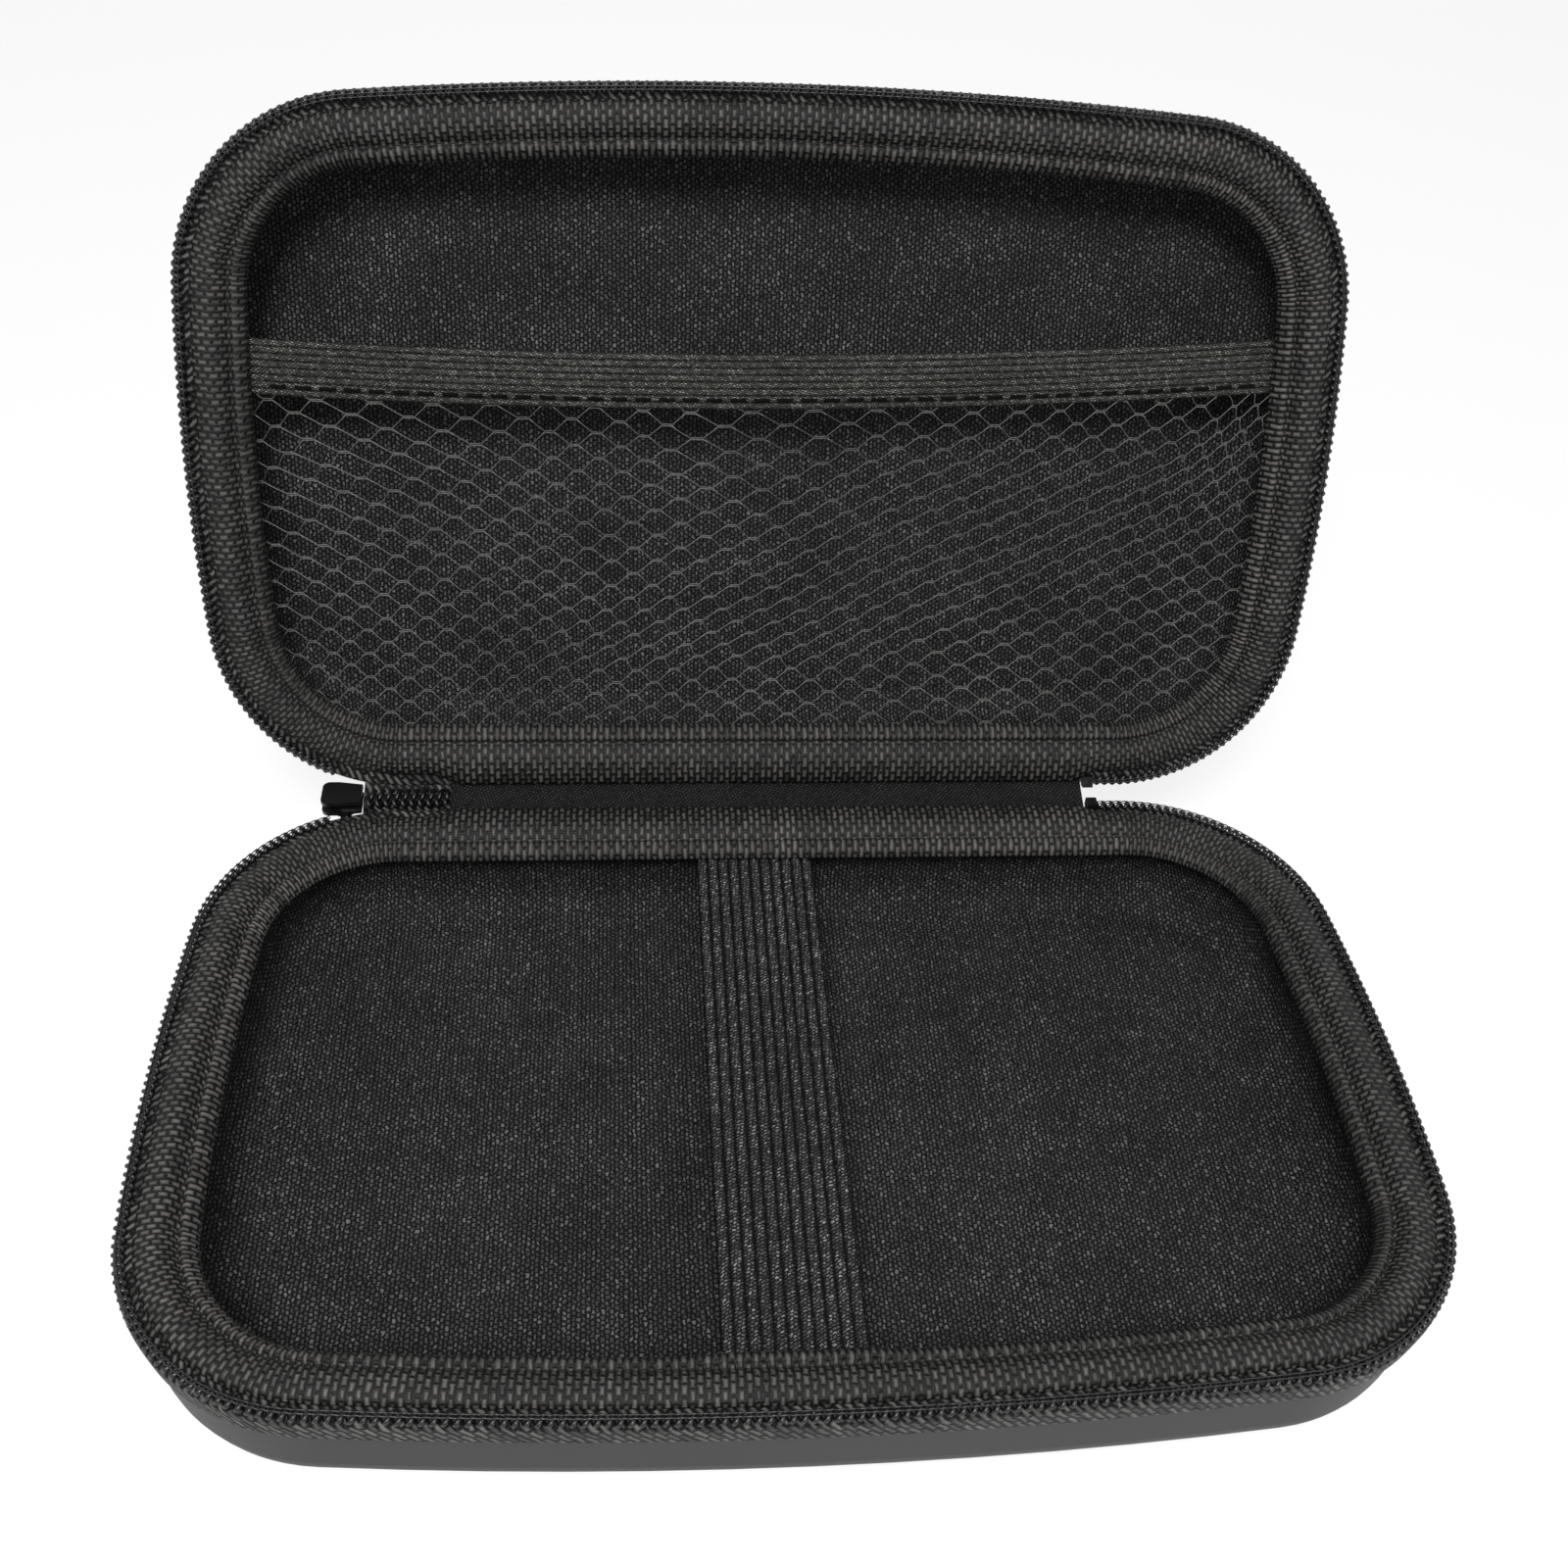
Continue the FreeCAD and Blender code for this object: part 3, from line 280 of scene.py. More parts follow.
def in_lid(points):
    """The same for the lid: turned over onto the base, then swung open about the hinge."""
    hinge_y, hinge_z = (value / MM for value in HINGE["pos_m"][1:])
    back = points[..., 1] - hinge_y
    up = sizes().height - points[..., 2] - hinge_z
    y = hinge_y + back * math.cos(HINGE_TURN) + up * math.sin(HINGE_TURN)
    z = hinge_z - back * math.sin(HINGE_TURN) + up * math.cos(HINGE_TURN)
    return in_case(np.stack([-points[..., 0], y, z], -1))


HALVES = (("base", in_base), ("lid", in_lid))


# Meshes

def patch(points, uv, closed=(False, False), flip=False, capped=False):
    """Quads over one or more grids of points: (copies, rows, columns, 3) or without copies.
    On a closed side the last line repeats the first. uv is in millimetres, one pair a point.
    capped closes the first and last row of each copy with one face."""
    if points.ndim == 3:
        points = points[None]
    if uv.ndim == 3:
        uv = uv[None]
    copies, rows, columns = points.shape[:3]
    uv = np.broadcast_to(uv, (copies, rows, columns, 2))
    kept_rows = rows - closed[0]
    kept_columns = columns - closed[1]
    vertices = points[:, :kept_rows, :kept_columns].reshape(-1, 3)
    copy, i, j = np.meshgrid(
        np.arange(copies), np.arange(rows - 1), np.arange(columns - 1), indexing="ij"
    )
    steps = ((0, 0), (1, 0), (1, 1), (0, 1))
    if flip:
        steps = steps[::-1]

    def number(row, column):
        return (copy * kept_rows + row % kept_rows) * kept_columns + column % kept_columns

    faces = np.stack([number(i + a, j + b) for a, b in steps], -1).reshape(-1, 4)
    corners = np.stack([uv[copy, i + a, j + b] for a, b in steps], -2).reshape(-1, 2)
    polygons = faces.tolist()
    if capped:
        ring = np.arange(kept_columns)
        first = np.arange(copies)[:, None] * kept_rows * kept_columns + ring
        last = first + (kept_rows - 1) * kept_columns
        ends = [first[:, ::-1], last] if flip else [first, last[:, ::-1]]
        polygons += np.concatenate(ends).tolist()
        spare = np.zeros((2 * copies * kept_columns, 2))
        corners = np.concatenate([corners, spare])
    return vertices, polygons, corners


def make_piece(name, patches, place, material, body, replaced=()):
    """One mesh object from patches, placed in the case and finished. It rides its body, or none
    where none is named."""
    vertices, polygons, corners, count = [], [], [], 0
    for points, faces, uv in patches:
        vertices.append(points)
        polygons += [[corner + count for corner in face] for face in faces]
        corners.append(uv)
        count += len(points)
    mesh = bpy.data.meshes.new(name)
    mesh.from_pydata(place(np.concatenate(vertices)), [], polygons)
    layer = mesh.uv_layers.new(name="UVMap")
    layer.data.foreach_set("uv", np.concatenate(corners).astype(np.float32).ravel())
    mesh.polygons.foreach_set("use_smooth", [True] * len(mesh.polygons))
    mesh.update()
    mesh.materials.append(material)
    obj = bpy.data.objects.new(name, mesh)
    bpy.context.scene.collection.objects.link(obj)
    if body:
        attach(obj, body)
    if replaced:
        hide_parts(*replaced)
    return obj


def eased(corners, step, closed=False):
    """A curve through the corners by Catmull-Rom's rule: between two corners each point is a
    cubic blend of them and their neighbours. Points lie about a step apart."""
    keys = np.asarray(corners, float)
    if closed:
        keys = np.concatenate([keys[-1:], keys, keys[:2]])
    else:
        keys = np.concatenate([2 * keys[:1] - keys[1:2], keys, 2 * keys[-1:] - keys[-2:-1]])
    pieces = []
    for a, b, c, d in zip(keys, keys[1:], keys[2:], keys[3:]):
        count = max(1, int(round(np.linalg.norm(c - b) / step)))
        t = (np.arange(count) / count)[:, None]
        pieces.append(
            0.5 * (2 * b + (c - a) * t + (2 * a - 5 * b + 4 * c - d) * t**2
                   + (3 * b - a - 3 * c + d) * t**3)
        )
    pieces.append(keys[-2:-1])
    return np.concatenate(pieces)


def run_length(path):
    """Distance travelled along a path of points, at each point."""
    steps = np.linalg.norm(np.diff(path, axis=0), axis=1)
    return np.concatenate([[0], np.cumsum(steps)])


def outward(profile, closed):
    """Unit normals of a profile in inset and drop, to the left of its direction."""
    if closed:
        along = np.roll(profile[:-1], -1, 0) - np.roll(profile[:-1], 1, 0)
        along = np.concatenate([along, along[:1]])
    else:
        along = np.gradient(profile, axis=0)
    along /= np.linalg.norm(along, axis=1, keepdims=True)
    return np.stack([along[:, 1], -along[:, 0]], -1)


def uv_grid(along, across):
    u, v = np.meshgrid(along, across, indexing="ij")
    return np.stack([u, v], -1)


def tubes(path, radius, sides, along):
    """Capped tubes round one or more paths (copies, points, 3): each ring is a circle in the
    plane of the path's sideways and upward directions. U is the way along, as given, and V the
    way round."""
    if path.ndim == 2:
        path = path[None]
    heading = np.gradient(path, axis=1)
    heading /= np.linalg.norm(heading, axis=-1, keepdims=True) + 1e-9
    side = np.cross(heading, np.array([0.0, 0.0, 1.0]))
    size = np.linalg.norm(side, axis=-1, keepdims=True)
    side = np.where(size > 1e-3, side / np.maximum(size, 1e-3), np.array([1.0, 0.0, 0.0]))
    up = np.cross(side, heading)
    angle = np.linspace(0, TAU, sides + 1)[:, None]
    radius = np.broadcast_to(radius, path.shape[:2])[..., None, None]
    ring = np.cos(angle) * side[:, :, None, :] + np.sin(angle) * up[:, :, None, :]
    rings = path[:, :, None, :] + radius * ring
    return patch(rings, uv_grid(along, np.linspace(0, 1, sides + 1)), (False, True), capped=True)


def squared(turn, power):
    """Cosine and sine of a turn, raised to powers with their signs kept: an oval with square
    shoulders."""
    return [
        np.sign(wave) * np.abs(wave) ** share
        for wave, share in zip((np.cos(turn), np.sin(turn)), power)
    ]


def webbing_section(width, rib, steps, round_power, low, high, thick, square):
    """Closed section of a ribbed webbing, as two arrays: the way to the side, and the lift. On
    the face the lift goes from low to high and back once a rib, by a sine to a power, and the
    back lies level. Both round off at the sides by a superellipse of the power square."""
    half = width / 2
    face, back = (
        np.linspace(first, -first, count) for first, count in zip((-half, half), steps)
    )
    arch = np.abs(np.sin(math.pi * (face + half) / rib)) ** round_power
    edge, back_edge = (
        np.sqrt(np.clip(1 - np.abs(way / half) ** square, 0, 1)) for way in (face, back)
    )
    lift = (low + (high - low) * arch) * edge
    side = np.concatenate([face, back, face[:1]])
    return side, np.concatenate([lift, -thick * back_edge, lift[:1]])


# Materials

# The slow unevenness of dye and handling: patches to a metre in cloth, the swing of their tone,
# and patches to a metre in plain surfaces.
CLOTH_DRIFT, CLOTH_SWING, PLAIN_DRIFT = 70.0, 0.2, 35.0


def node(tree, kind, inputs=None, **settings):
    """Add one node, set its properties, and fill or link its inputs."""
    item = tree.nodes.new(kind)
    for key, value in settings.items():
        setattr(item, key, value)
    for key, value in (inputs or {}).items():
        socket = item.inputs[key]
        if isinstance(value, bpy.types.NodeSocket):
            tree.links.new(value, socket)
        else:
            socket.default_value = value
    return item


def new_material(name):
    """An empty material and its node tree."""
    material = bpy.data.materials.new(name)
    material.use_nodes = True
    material.node_tree.nodes.clear()
    return material, material.node_tree


def finish_material(tree, colour_socket, height, relief, **surface):
    """Principled surface with a bump of relief millimetres, ended in an output node. The words
    of the surface are the shader's own sockets."""
    inputs = {key.replace("_", " "): value for key, value in surface.items()}
    inputs["Base Color"] = colour_socket
    bump = node(tree, "ShaderNodeBump", {"Height": height, "Distance": relief * MM})
    inputs["Normal"] = bump.outputs["Normal"]
    shader = node(tree, "ShaderNodeBsdfPrincipled", inputs)
    node(tree, "ShaderNodeOutputMaterial", {"Surface": shader.outputs["BSDF"]})


def slow_tone(tree, scale, swing):
    """A factor that drifts by the swing about one, in patches of 1 / scale metres."""
    place = node(tree, "ShaderNodeTexCoord")
    drift = node(
        tree, "ShaderNodeTexNoise",
        {"Vector": place.outputs["Object"], "Scale": scale, "Detail": 3.0},
    )
    return node(
        tree, "ShaderNodeMapRange",
        {"Value": drift.outputs["Fac"], "From Min": 0.3, "From Max": 0.7,
         "To Min": 1 - swing, "To Max": 1 + swing},
    ).outputs["Result"]


def woven(
    name, ground, thread, cell, gap, relief, turn=0.0, glint=1.6, ribs=None, uneven=0.9,
    dull=0.18, **surface
):
    """Cloth whose raised threads are short soft bricks of the cell's width and height in
    millimetres, laid along U and turned by an angle, over a darker ground, the cloth's own colour.
    The threads' lighter colour is painted highlight (in the pocket's band partly its own grey
    too):
    each brick takes its own chance from nought to one, which to the power of glint mixes it from
    dull, a share of the way from the ground, to bright, so that a high power leaves a few threads
    with a painted glint. The threads waver by about the share uneven of their width. ribs is a
    pitch, and the tone and half width of the valleys that run along U at that pitch, darkened as
    painted shade."""
    material, tree = new_material(name)
    place = node(tree, "ShaderNodeUVMap", uv_map="UVMap")
    waver = node(
        tree, "ShaderNodeTexNoise",
        {"Vector": place.outputs["UV"], "Scale": 0.75 / cell[1], "Detail": 1.0},
    )
    shifted = node(
        tree, "ShaderNodeVectorMath",
        {0: waver.outputs["Color"], 1: [uneven * cell[1]] * 3, 2: place.outputs["UV"]},
        operation="MULTIPLY_ADD",
    )
    turned = node(
        tree, "ShaderNodeMapping",
        {"Vector": shifted.outputs["Vector"], "Rotation": (0, 0, turn)},
    )
    bricks = node(
        tree, "ShaderNodeTexBrick",
        {
            "Vector": turned.outputs["Vector"], "Scale": 1.0, "Color1": (1, 1, 1, 1),
            "Color2": (0, 0, 0, 1), "Mortar": (0, 0, 0, 1), "Mortar Size": gap,
            "Mortar Smooth": 1.0, "Brick Width": cell[0], "Row Height": cell[1], "Bias": 0.0,
        },
    )
    # Each brick's chance, to the power of glint, sets how bright its painted glint is.
    chance = node(
        tree, "ShaderNodeMath", {0: bricks.outputs["Color"], 1: glint}, operation="POWER"
    )
    quiet = [g + (t - g) * dull for g, t in zip(ground, thread)]
    painted_glints = node(
        tree, "ShaderNodeMix",
        {"Factor": chance.outputs["Value"], "A": (*quiet, 1), "B": (*thread, 1)},
        data_type="RGBA",
    )
    laid = node(
        tree, "ShaderNodeMix",
        {"Factor": bricks.outputs["Fac"], "A": painted_glints.outputs["Result"], "B": (*ground, 1)},
        data_type="RGBA",
    )
    tone = slow_tone(tree, CLOTH_DRIFT, CLOTH_SWING)
    raised = node(
        tree, "ShaderNodeMath", {0: 1.0, 1: bricks.outputs["Fac"]}, operation="SUBTRACT"
    ).outputs["Value"]
    # The valleys between ribs are darkened as painted shade, and lowered in the bump.
    if ribs:
        crest = rib_relief_and_shade(tree, place.outputs["UV"], *ribs)
        tone = node(
            tree, "ShaderNodeMath", {0: tone, 1: crest}, operation="MULTIPLY"
        ).outputs["Value"]
        raised = node(
            tree, "ShaderNodeMath", {0: raised, 1: 0.5, 2: crest}, operation="MULTIPLY_ADD"
        ).outputs["Value"]
    shaded = node(
        tree, "ShaderNodeVectorMath", {0: laid.outputs["Result"], 1: tone},
        operation="MULTIPLY",
    )
    finish_material(tree, shaded.outputs["Vector"], raised, relief, **surface)
    return material


def rib_relief_and_shade(tree, uv, pitch, valley, reach):
    """One on the crests of ribs that run along U at a pitch, and the valley's tone between
    them: the way to the nearest valley, in pitches, eased up to one at the reach. In the colour
    the low valley tone is painted shade; in the bump it gives the ribs' relief."""
    split = node(tree, "ShaderNodeSeparateXYZ", {0: uv})
    turns = node(
        tree, "ShaderNodeMath", {0: split.outputs["Y"], 1: pitch}, operation="DIVIDE"
    )
    wave = node(
        tree, "ShaderNodeMath", {0: turns.outputs["Value"], 1: 0.5}, operation="PINGPONG"
    )
    return node(
        tree, "ShaderNodeMapRange",
        {"Value": wave.outputs["Value"], "From Min": 0.03, "From Max": reach,
         "To Min": valley, "To Max": 1.0},
        interpolation_type="SMOOTHSTEP",
    ).outputs["Result"]


def speckled(name, tone, scale_mm, relief, swing=0.12, **surface):
    """A plain moulded, coated or twisted surface: a fine grain of the given size in
    millimetres, and a slow change of tone."""
    material, tree = new_material(name)
    place = node(tree, "ShaderNodeTexCoord")
    grain = node(
        tree, "ShaderNodeTexNoise",
        {"Vector": place.outputs["Object"], "Scale": 1 / (scale_mm * MM), "Detail": 2.0},
    )
    shaded = node(
        tree, "ShaderNodeVectorMath",
        {0: tuple(tone), 1: slow_tone(tree, PLAIN_DRIFT, swing)}, operation="MULTIPLY",
    )
    finish_material(tree, shaded.outputs["Vector"], grain.outputs["Fac"], relief, **surface)
    return material


# The finishes. An operator makes the ones it uses, so that a changed colour or pitch counts
# when it runs again. Lengths that take no pitch of their own are thread and grain sizes.

def coated_foam():
    """EVA foam, hot pressed under a polyurethane skin: smooth, matte, an even soft sheen."""
    return speckled(
        "Coated EVA foam, pressed", colours().shell, 0.5, 0.012, 0.06, Roughness=0.5,
        Specular_IOR_Level=0.25,
    )


def lining_knit():
    """Polyester warp knit, pressed with the foam: fine upright wales whose glinting loops are
    painted highlight.
    """
    wale = patterns().wale
    return woven(
        "Warp knit lining", colours().knit, colours().knit_painted_glint, (1.3 * wale, wale),
        0.36 * wale, 0.2, math.pi / 2, glint=3.0, uneven=1.3, dull=0.3, Roughness=0.6,
        Specular_IOR_Level=0.08,
    )


def grosgrain(name="Grosgrain ribbon", bar=1.95, glint=0.6, uneven=0.4):
    """Polyester grosgrain, folded over the edge: cross ribs broken into rows of short bars, whose
    lighter colour is painted highlight. A bar is drawn about twice as long as a real float, which
    is too fine to show."""
    return woven(
        name, colours().ribbon, colours().ribbon_rib_glint, (bar, patterns().ribbon), 0.58, 0.3,
        math.pi / 2, glint, uneven=uneven, dull=0.25, Roughness=0.45, Specular_IOR_Level=0.2,
    )


def grosgrain_lip():
    """The same ribbon at its free lip, pulled flat: long bars that stand across the edge."""
    return grosgrain("Grosgrain ribbon, pulled flat", 3.1, 0.5, 0.35)


def tape_twill():
    """Polyester zipper tape: slanting lines of a twill, whose grey sheen is painted into their
    colour.
    """
    twill = patterns().twill
    return woven(
        "Zipper tape twill", colours().tape, colours().tape_line_sheen, (2.6 * twill, twill),
        0.42 * twill, 0.4, math.radians(52), glint=0.8, uneven=0.6, Roughness=0.5,
        Specular_IOR_Level=0.12,
    )


def coil_nylon():
    """Nylon monofilament of the coil: dyed through, smooth, with small clear highlights."""
    return speckled("Nylon coil", colours().nylon, 0.8, 0.01, Roughness=0.3)


def black_enamel():
    """Black enamel on die-cast zinc: smooth and satin, a little uneven under light."""
    return speckled(
        "Black enamelled zinc", colours().metal, 1.2, 0.012, Roughness=0.32,
        Coat_Weight=0.25, Coat_Roughness=0.2,
    )


def strap_elastic():
    """Ribbed polyester elastic of the strap: oblique bright threads on each round rib, their
    brightness painted highlight, with painted shade in the near-black valleys.
    """
    return woven(
        "Ribbed elastic webbing", colours().elastic, colours().elastic_rib_glint, (0.9, 0.6),
        0.22, 0.4, math.radians(60), glint=2.2, uneven=1.4,
        ribs=(patterns().strap_rib, 0.03, 0.34), Roughness=0.5, Specular_IOR_Level=0.12,
    )


def hem_elastic():
    """Folded elastic of the pocket's hem: grey, with fine threads along its ribs; their lighter
    colour is partly the band's own grey and partly painted highlight, and the valleys carry
    painted shade.
    """
    return woven(
        "Folded hem elastic", colours().band, colours().band_rib, (0.7, 0.42),
        0.15, 0.24, math.radians(12), glint=1.7, uneven=1.2,
        ribs=(patterns().band_rib, 0.3, 0.2), Roughness=0.55, Specular_IOR_Level=0.12,
    )


def net_thread():
    """Twisted polyester thread of the net: satin, so that it lights up along its length."""
    return speckled("Net thread", colours().thread, 0.35, 0.05, 0.4, Roughness=0.35)


def sewing_thread_and_dip_shade():
    """Sewing thread: black, and made darker still as painted shade of the dips where the stitches
    pull into the band.
    """
    return speckled(
        "Sewing thread", colours().stitch, 0.25, 0.04, Roughness=0.8, Specular_IOR_Level=0.1
    )


def hinge_weave():
    """Coarse plain weave of the hinge strips: an open lattice of threads, their lighter colour
    painted highlight.
    """
    return woven(
        "Hinge cloth, plain weave", colours().tape, colours().hinge_thread_glint, (0.75, 0.7),
        0.26, 0.24, math.radians(45), glint=0.7, uneven=0.4, Roughness=0.5,
        Specular_IOR_Level=0.12,
    )


def dress_node(name, material):
    """Give a carried-over solid its finish."""
    NODES[name].data.materials.clear()
    NODES[name].data.materials.append(material)


# Shells

# The hollow that the foam is pressed to: the top of its straight wall and the wall's draft, the
# floor's thickness and the round between them. The cloth stands off each by a gap.
WALL_TOP, DRAFT, FLOOR_THICK, COVE_RADIUS = 2.9, math.radians(5.3), 4.0, 8.0
WALL_GAP, TOP_GAP, FLOOR_GAP, COVE_GAP = 0.45, 0.3, 0.5, 0.6
# Places round the rim, the step along the wall's profile, the rings that close the floor, and half
# the length of the floor's ridge.
LINING_PLACES, LINING_STEP, FLOOR_RINGS, FLOOR_RIDGE = 421, 1.2, 14, 45.0


def tub_profile(inset, top, depth, radius, step):
    """A drafted wall from the top down, then a quarter round of the radius into the level
    floor: pairs of inset and drop."""
    slope = math.tan(DRAFT)
    turn = math.pi / 2 - DRAFT
    wall_foot = depth - radius * math.tan(turn / 2) * math.cos(DRAFT)
    wall = np.linspace(top, wall_foot, max(3, int((wall_foot - top) / step)))
    straight = np.stack([inset + (wall - top) * slope, wall], -1)
    centre = (
        straight[-1, 0] + radius * math.cos(DRAFT),
        straight[-1, 1] - radius * math.sin(DRAFT),
    )
    angle = np.linspace(DRAFT, math.pi / 2, max(6, int(radius * turn / step)))
    bend = np.stack(
        [centre[0] - radius * np.cos(angle), centre[1] + radius * np.sin(angle)], -1
    )
    return np.concatenate([straight, bend[1:]])


def closed_floor(edge):
    """Rings that shrink from a level loop of points to a ridge in its middle, so that the floor
    closes without a pinch: each ring is a share of the way to the nearest point of the ridge."""
    target = edge.copy()
    target[:, 0] = np.clip(edge[:, 0], -FLOOR_RIDGE, FLOOR_RIDGE)
    target[:, 1] = 0.0
    share = np.linspace(0, 1, FLOOR_RINGS + 1)[1:, None, None]
    return (edge[None] * (1 - share) + target[None] * share).transpose(1, 0, 2)


def tub_patch(outline, profile, place):
    """Wall, round and floor of a tub as one grid. Its UV is that of the cloth before it is
    pressed: the plan, with the walls laid flat outward."""
    inset, drop = (np.broadcast_to(column, (len(place), len(profile))) for column in profile.T)
    wall = rim(outline, place, inset, drop)
    points = np.concatenate([wall, closed_floor(wall[:, -1])], 1)
    uv = points[..., :2].copy()
    _, normals = outline.at(place)
    run = run_length(profile)
    flat = np.maximum(run[-1] - run, 0) - (profile[-1, 0] - profile[:, 0])
    uv[:, : len(profile)] -= normals[:, None, :] * flat[None, :, None]
    return patch(points, uv, (True, False), flip=True)


class CASE_OT_shells(bpy.types.Operator):
    """Finish the two moulded foam shells"""

    bl_idname = "case.shells"
    bl_label = "Shells"

    def execute(self, context):
        foam = coated_foam()
        for half, _ in HALVES:
            dress_node(half + "_shell", foam)
        return {"FINISHED"}


class CASE_OT_linings(bpy.types.Operator):
    """Line both hollows with knit cloth that follows the walls, the round and the floor"""

    bl_idname = "case.linings"
    bl_label = "Linings"

    def execute(self, context):
        outline = Outline()
        case = sizes()
        place = np.linspace(0, outline.length, LINING_PLACES)
        profile = tub_profile(
            case.wall + WALL_GAP, WALL_TOP + TOP_GAP, case.height - FLOOR_THICK - FLOOR_GAP,
            COVE_RADIUS - COVE_GAP, LINING_STEP,
        )
        knit = lining_knit()
        for half, put in HALVES:
            obj = make_piece(
                half + "_lining_cloth", [tub_patch(outline, profile, place)], put, knit,
                half, [half + "_lining"],
            )
        return {"FINISHED"}


# Bindings

# Section of the binding, from its outer foot over the dome, through the sewn groove, down the
# free lip and back underneath: pairs of inset and drop.
BINDING_SECTION = (
    (3.75, 2.45), (3.4, 1.85), (3.65, 1.2), (4.45, 0.62), (5.6, 0.27), (6.9, 0.2), (8.2, 0.42),
    (9.3, 1.05), (10.1, 1.95), (10.55, 2.8), (10.95, 2.0), (11.6, 1.85), (12.5, 2.45),
    (13.3, 3.35), (13.85, 4.4), (13.7, 4.9), (13.1, 4.8), (12.0, 4.2), (10.6, 3.7),
    (8.6, 2.95), (4.6, 2.8),
)
BINDING_STEP, PLACES_PER_RIB = 0.85, 4
GROOVE_INSET, LIP_INSET, LIP_FOLD, LIP_EASE = 10.55, 13.9, 4.85, 0.4
# Insets between which the dome is puffed, and the drop that parts its face from its back.
DOME_FROM, DOME_TO, DOME_EASE, DOME_BACK, DOME_FOOT = 4.4, 9.6, 1.2, 2.0, 3.5
# The face of the lip lies above a line that starts at this drop at the groove, and falls.
LIP_FACE, LIP_FALL = 3.0, 0.45
# How high the ribs stand on the lip and on the dome, and how far the sewing lets them sway.
LIP_RIB, DOME_RIB, SWAY = 0.14, 0.06, 0.16
# Along the hinge no tape takes room, so the dome reaches farther out by the swell. It holds to a
# little short of the hinge's ends and eases off beyond. The ribbons of the closed case lie twice
# the seat apart.
SWELL, SWELL_SHORT, SWELL_EASE, SEAT = 2.5, 3.0, 7.0, 0.08
STRAP_CENTRE, STRAP_WIDTH = -3.0, 24.5
# At the strap's front end the lip is lifted by the elastic that passes under it.
STRAP_LIFT, STRAP_LIFT_HALF, STRAP_LIFT_EASE = 0.9, 11.0, 9.0


def window(value, low, high, edge):
    """One between low and high, eased to nought over the edge outside them."""
    rise = np.clip((value - low + edge) / edge, 0, 1)
    fall = np.clip((high + edge - value) / edge, 0, 1)
    share = rise * fall
    return share * share * (3 - 2 * share)


class CASE_OT_bindings(bpy.types.Operator):
    """Fold the ribbon over both rims: a puffed dome, a sewn groove and a ribbed free lip"""

    bl_idname = "case.bindings"
    bl_label = "Bindings"

    def execute(self, context):
        """The section is carried round the rim. Its ribs lift it by a cosine of the place."""
        outline = Outline()
        case = sizes()
        ribs = int(outline.length / patterns().ribbon)
        place = np.linspace(0, outline.length, PLACES_PER_RIB * ribs + 1)
        points, _ = outline.at(place)
        section = eased(BINDING_SECTION, BINDING_STEP, closed=True)
        inset, drop = section.T
        normal = outward(section, True)
        lip = window(inset, GROOVE_INSET + LIP_EASE, LIP_INSET, LIP_EASE)
        lip *= drop < LIP_FACE + (inset - GROOVE_INSET) * LIP_FALL
        dome = window(inset, DOME_FROM, DOME_TO, DOME_EASE) * (drop < DOME_BACK)
        outer = np.clip((GROOVE_INSET - inset) / (GROOVE_INSET - DOME_FOOT), 0, 1)
        ribbed = -np.cos(TAU * ribs * place / outline.length)[:, None] * (
            LIP_RIB * lip + DOME_RIB * dome)
        uv = uv_grid(place * patterns().ribbon * ribs / outline.length, run_length(section))
        on_lip = (inset[:-1] > GROOVE_INSET) & (drop[:-1] < LIP_FOLD)
        ribbon, lip_ribbon = grosgrain(), grosgrain_lip()
        for seed, (half, put) in enumerate(HALVES, 5):
            sway = outline.wander(place, SWAY, seed)
            lift = ribbed + sway[:, None] * (dome + 0.5 * lip)
            ends = (case.hinge_left, case.hinge_right)
            left, right = ends if half == "base" else ends[::-1]
            swell = window(
                points[:, 0], SWELL_SHORT - left, right - SWELL_SHORT, SWELL_EASE
            ) * (points[:, 1] > 0)
            carried_inset = inset + lift * normal[:, 0] - SWELL * swell[:, None] * outer
            carried_drop = np.maximum(drop + lift * normal[:, 1], SEAT)
            if half == "base":
                over = window(
                    points[:, 0] - STRAP_CENTRE, -STRAP_LIFT_HALF, STRAP_LIFT_HALF,
                    STRAP_LIFT_EASE,
                ) * (points[:, 1] < 0)
                carried_drop = carried_drop - STRAP_LIFT * over[:, None] * lip
            made = patch(rim(outline, place, carried_inset, carried_drop), uv, (True, True))
            obj = make_piece(
                half + "_ribbon", [made], put, ribbon, half,
                [half + "_binding"],
            )
            obj.data.materials.append(lip_ribbon)
            faces = np.tile(on_lip.astype(int), len(place) - 1)
            obj.data.polygons.foreach_set("material_index", faces)
        return {"FINISHED"}


# Zipper

TAPE_SECTION = (
    (5.4, 2.3), (2.4, 2.25), (0.9, 2.25), (0.34, 2.5), (0.32, 3.2), (0.95, 7.7), (1.12, 7.95),
    (1.3, 7.7), (0.9, 4.0), (0.85, 3.1), (1.3, 2.76), (2.6, 2.72), (5.4, 2.75),
)
TAPE_STEP, TAPE_PLACES = 0.7, 560
COIL_MIDDLE, COIL_WIDE, COIL_TALL, WIRE = (1.3, 1.4), 0.74, 0.38, 0.44
COIL_POWERS, TURN_POINTS = (0.7, 0.85), 12
# Two lines of stitches hold a coil down: their insets, their drop and how deep they dip.
SEAMS, SEAM_DROP, SEAM_DIP, SEAM_RADIUS = (1.1, 1.75), 0.46, 0.1, 0.14
# Room between the hinge and the tape's end, and from there to the coil, where the stop sits.
TAPE_GAP, STOP_ROOM = 0.3, 2.4
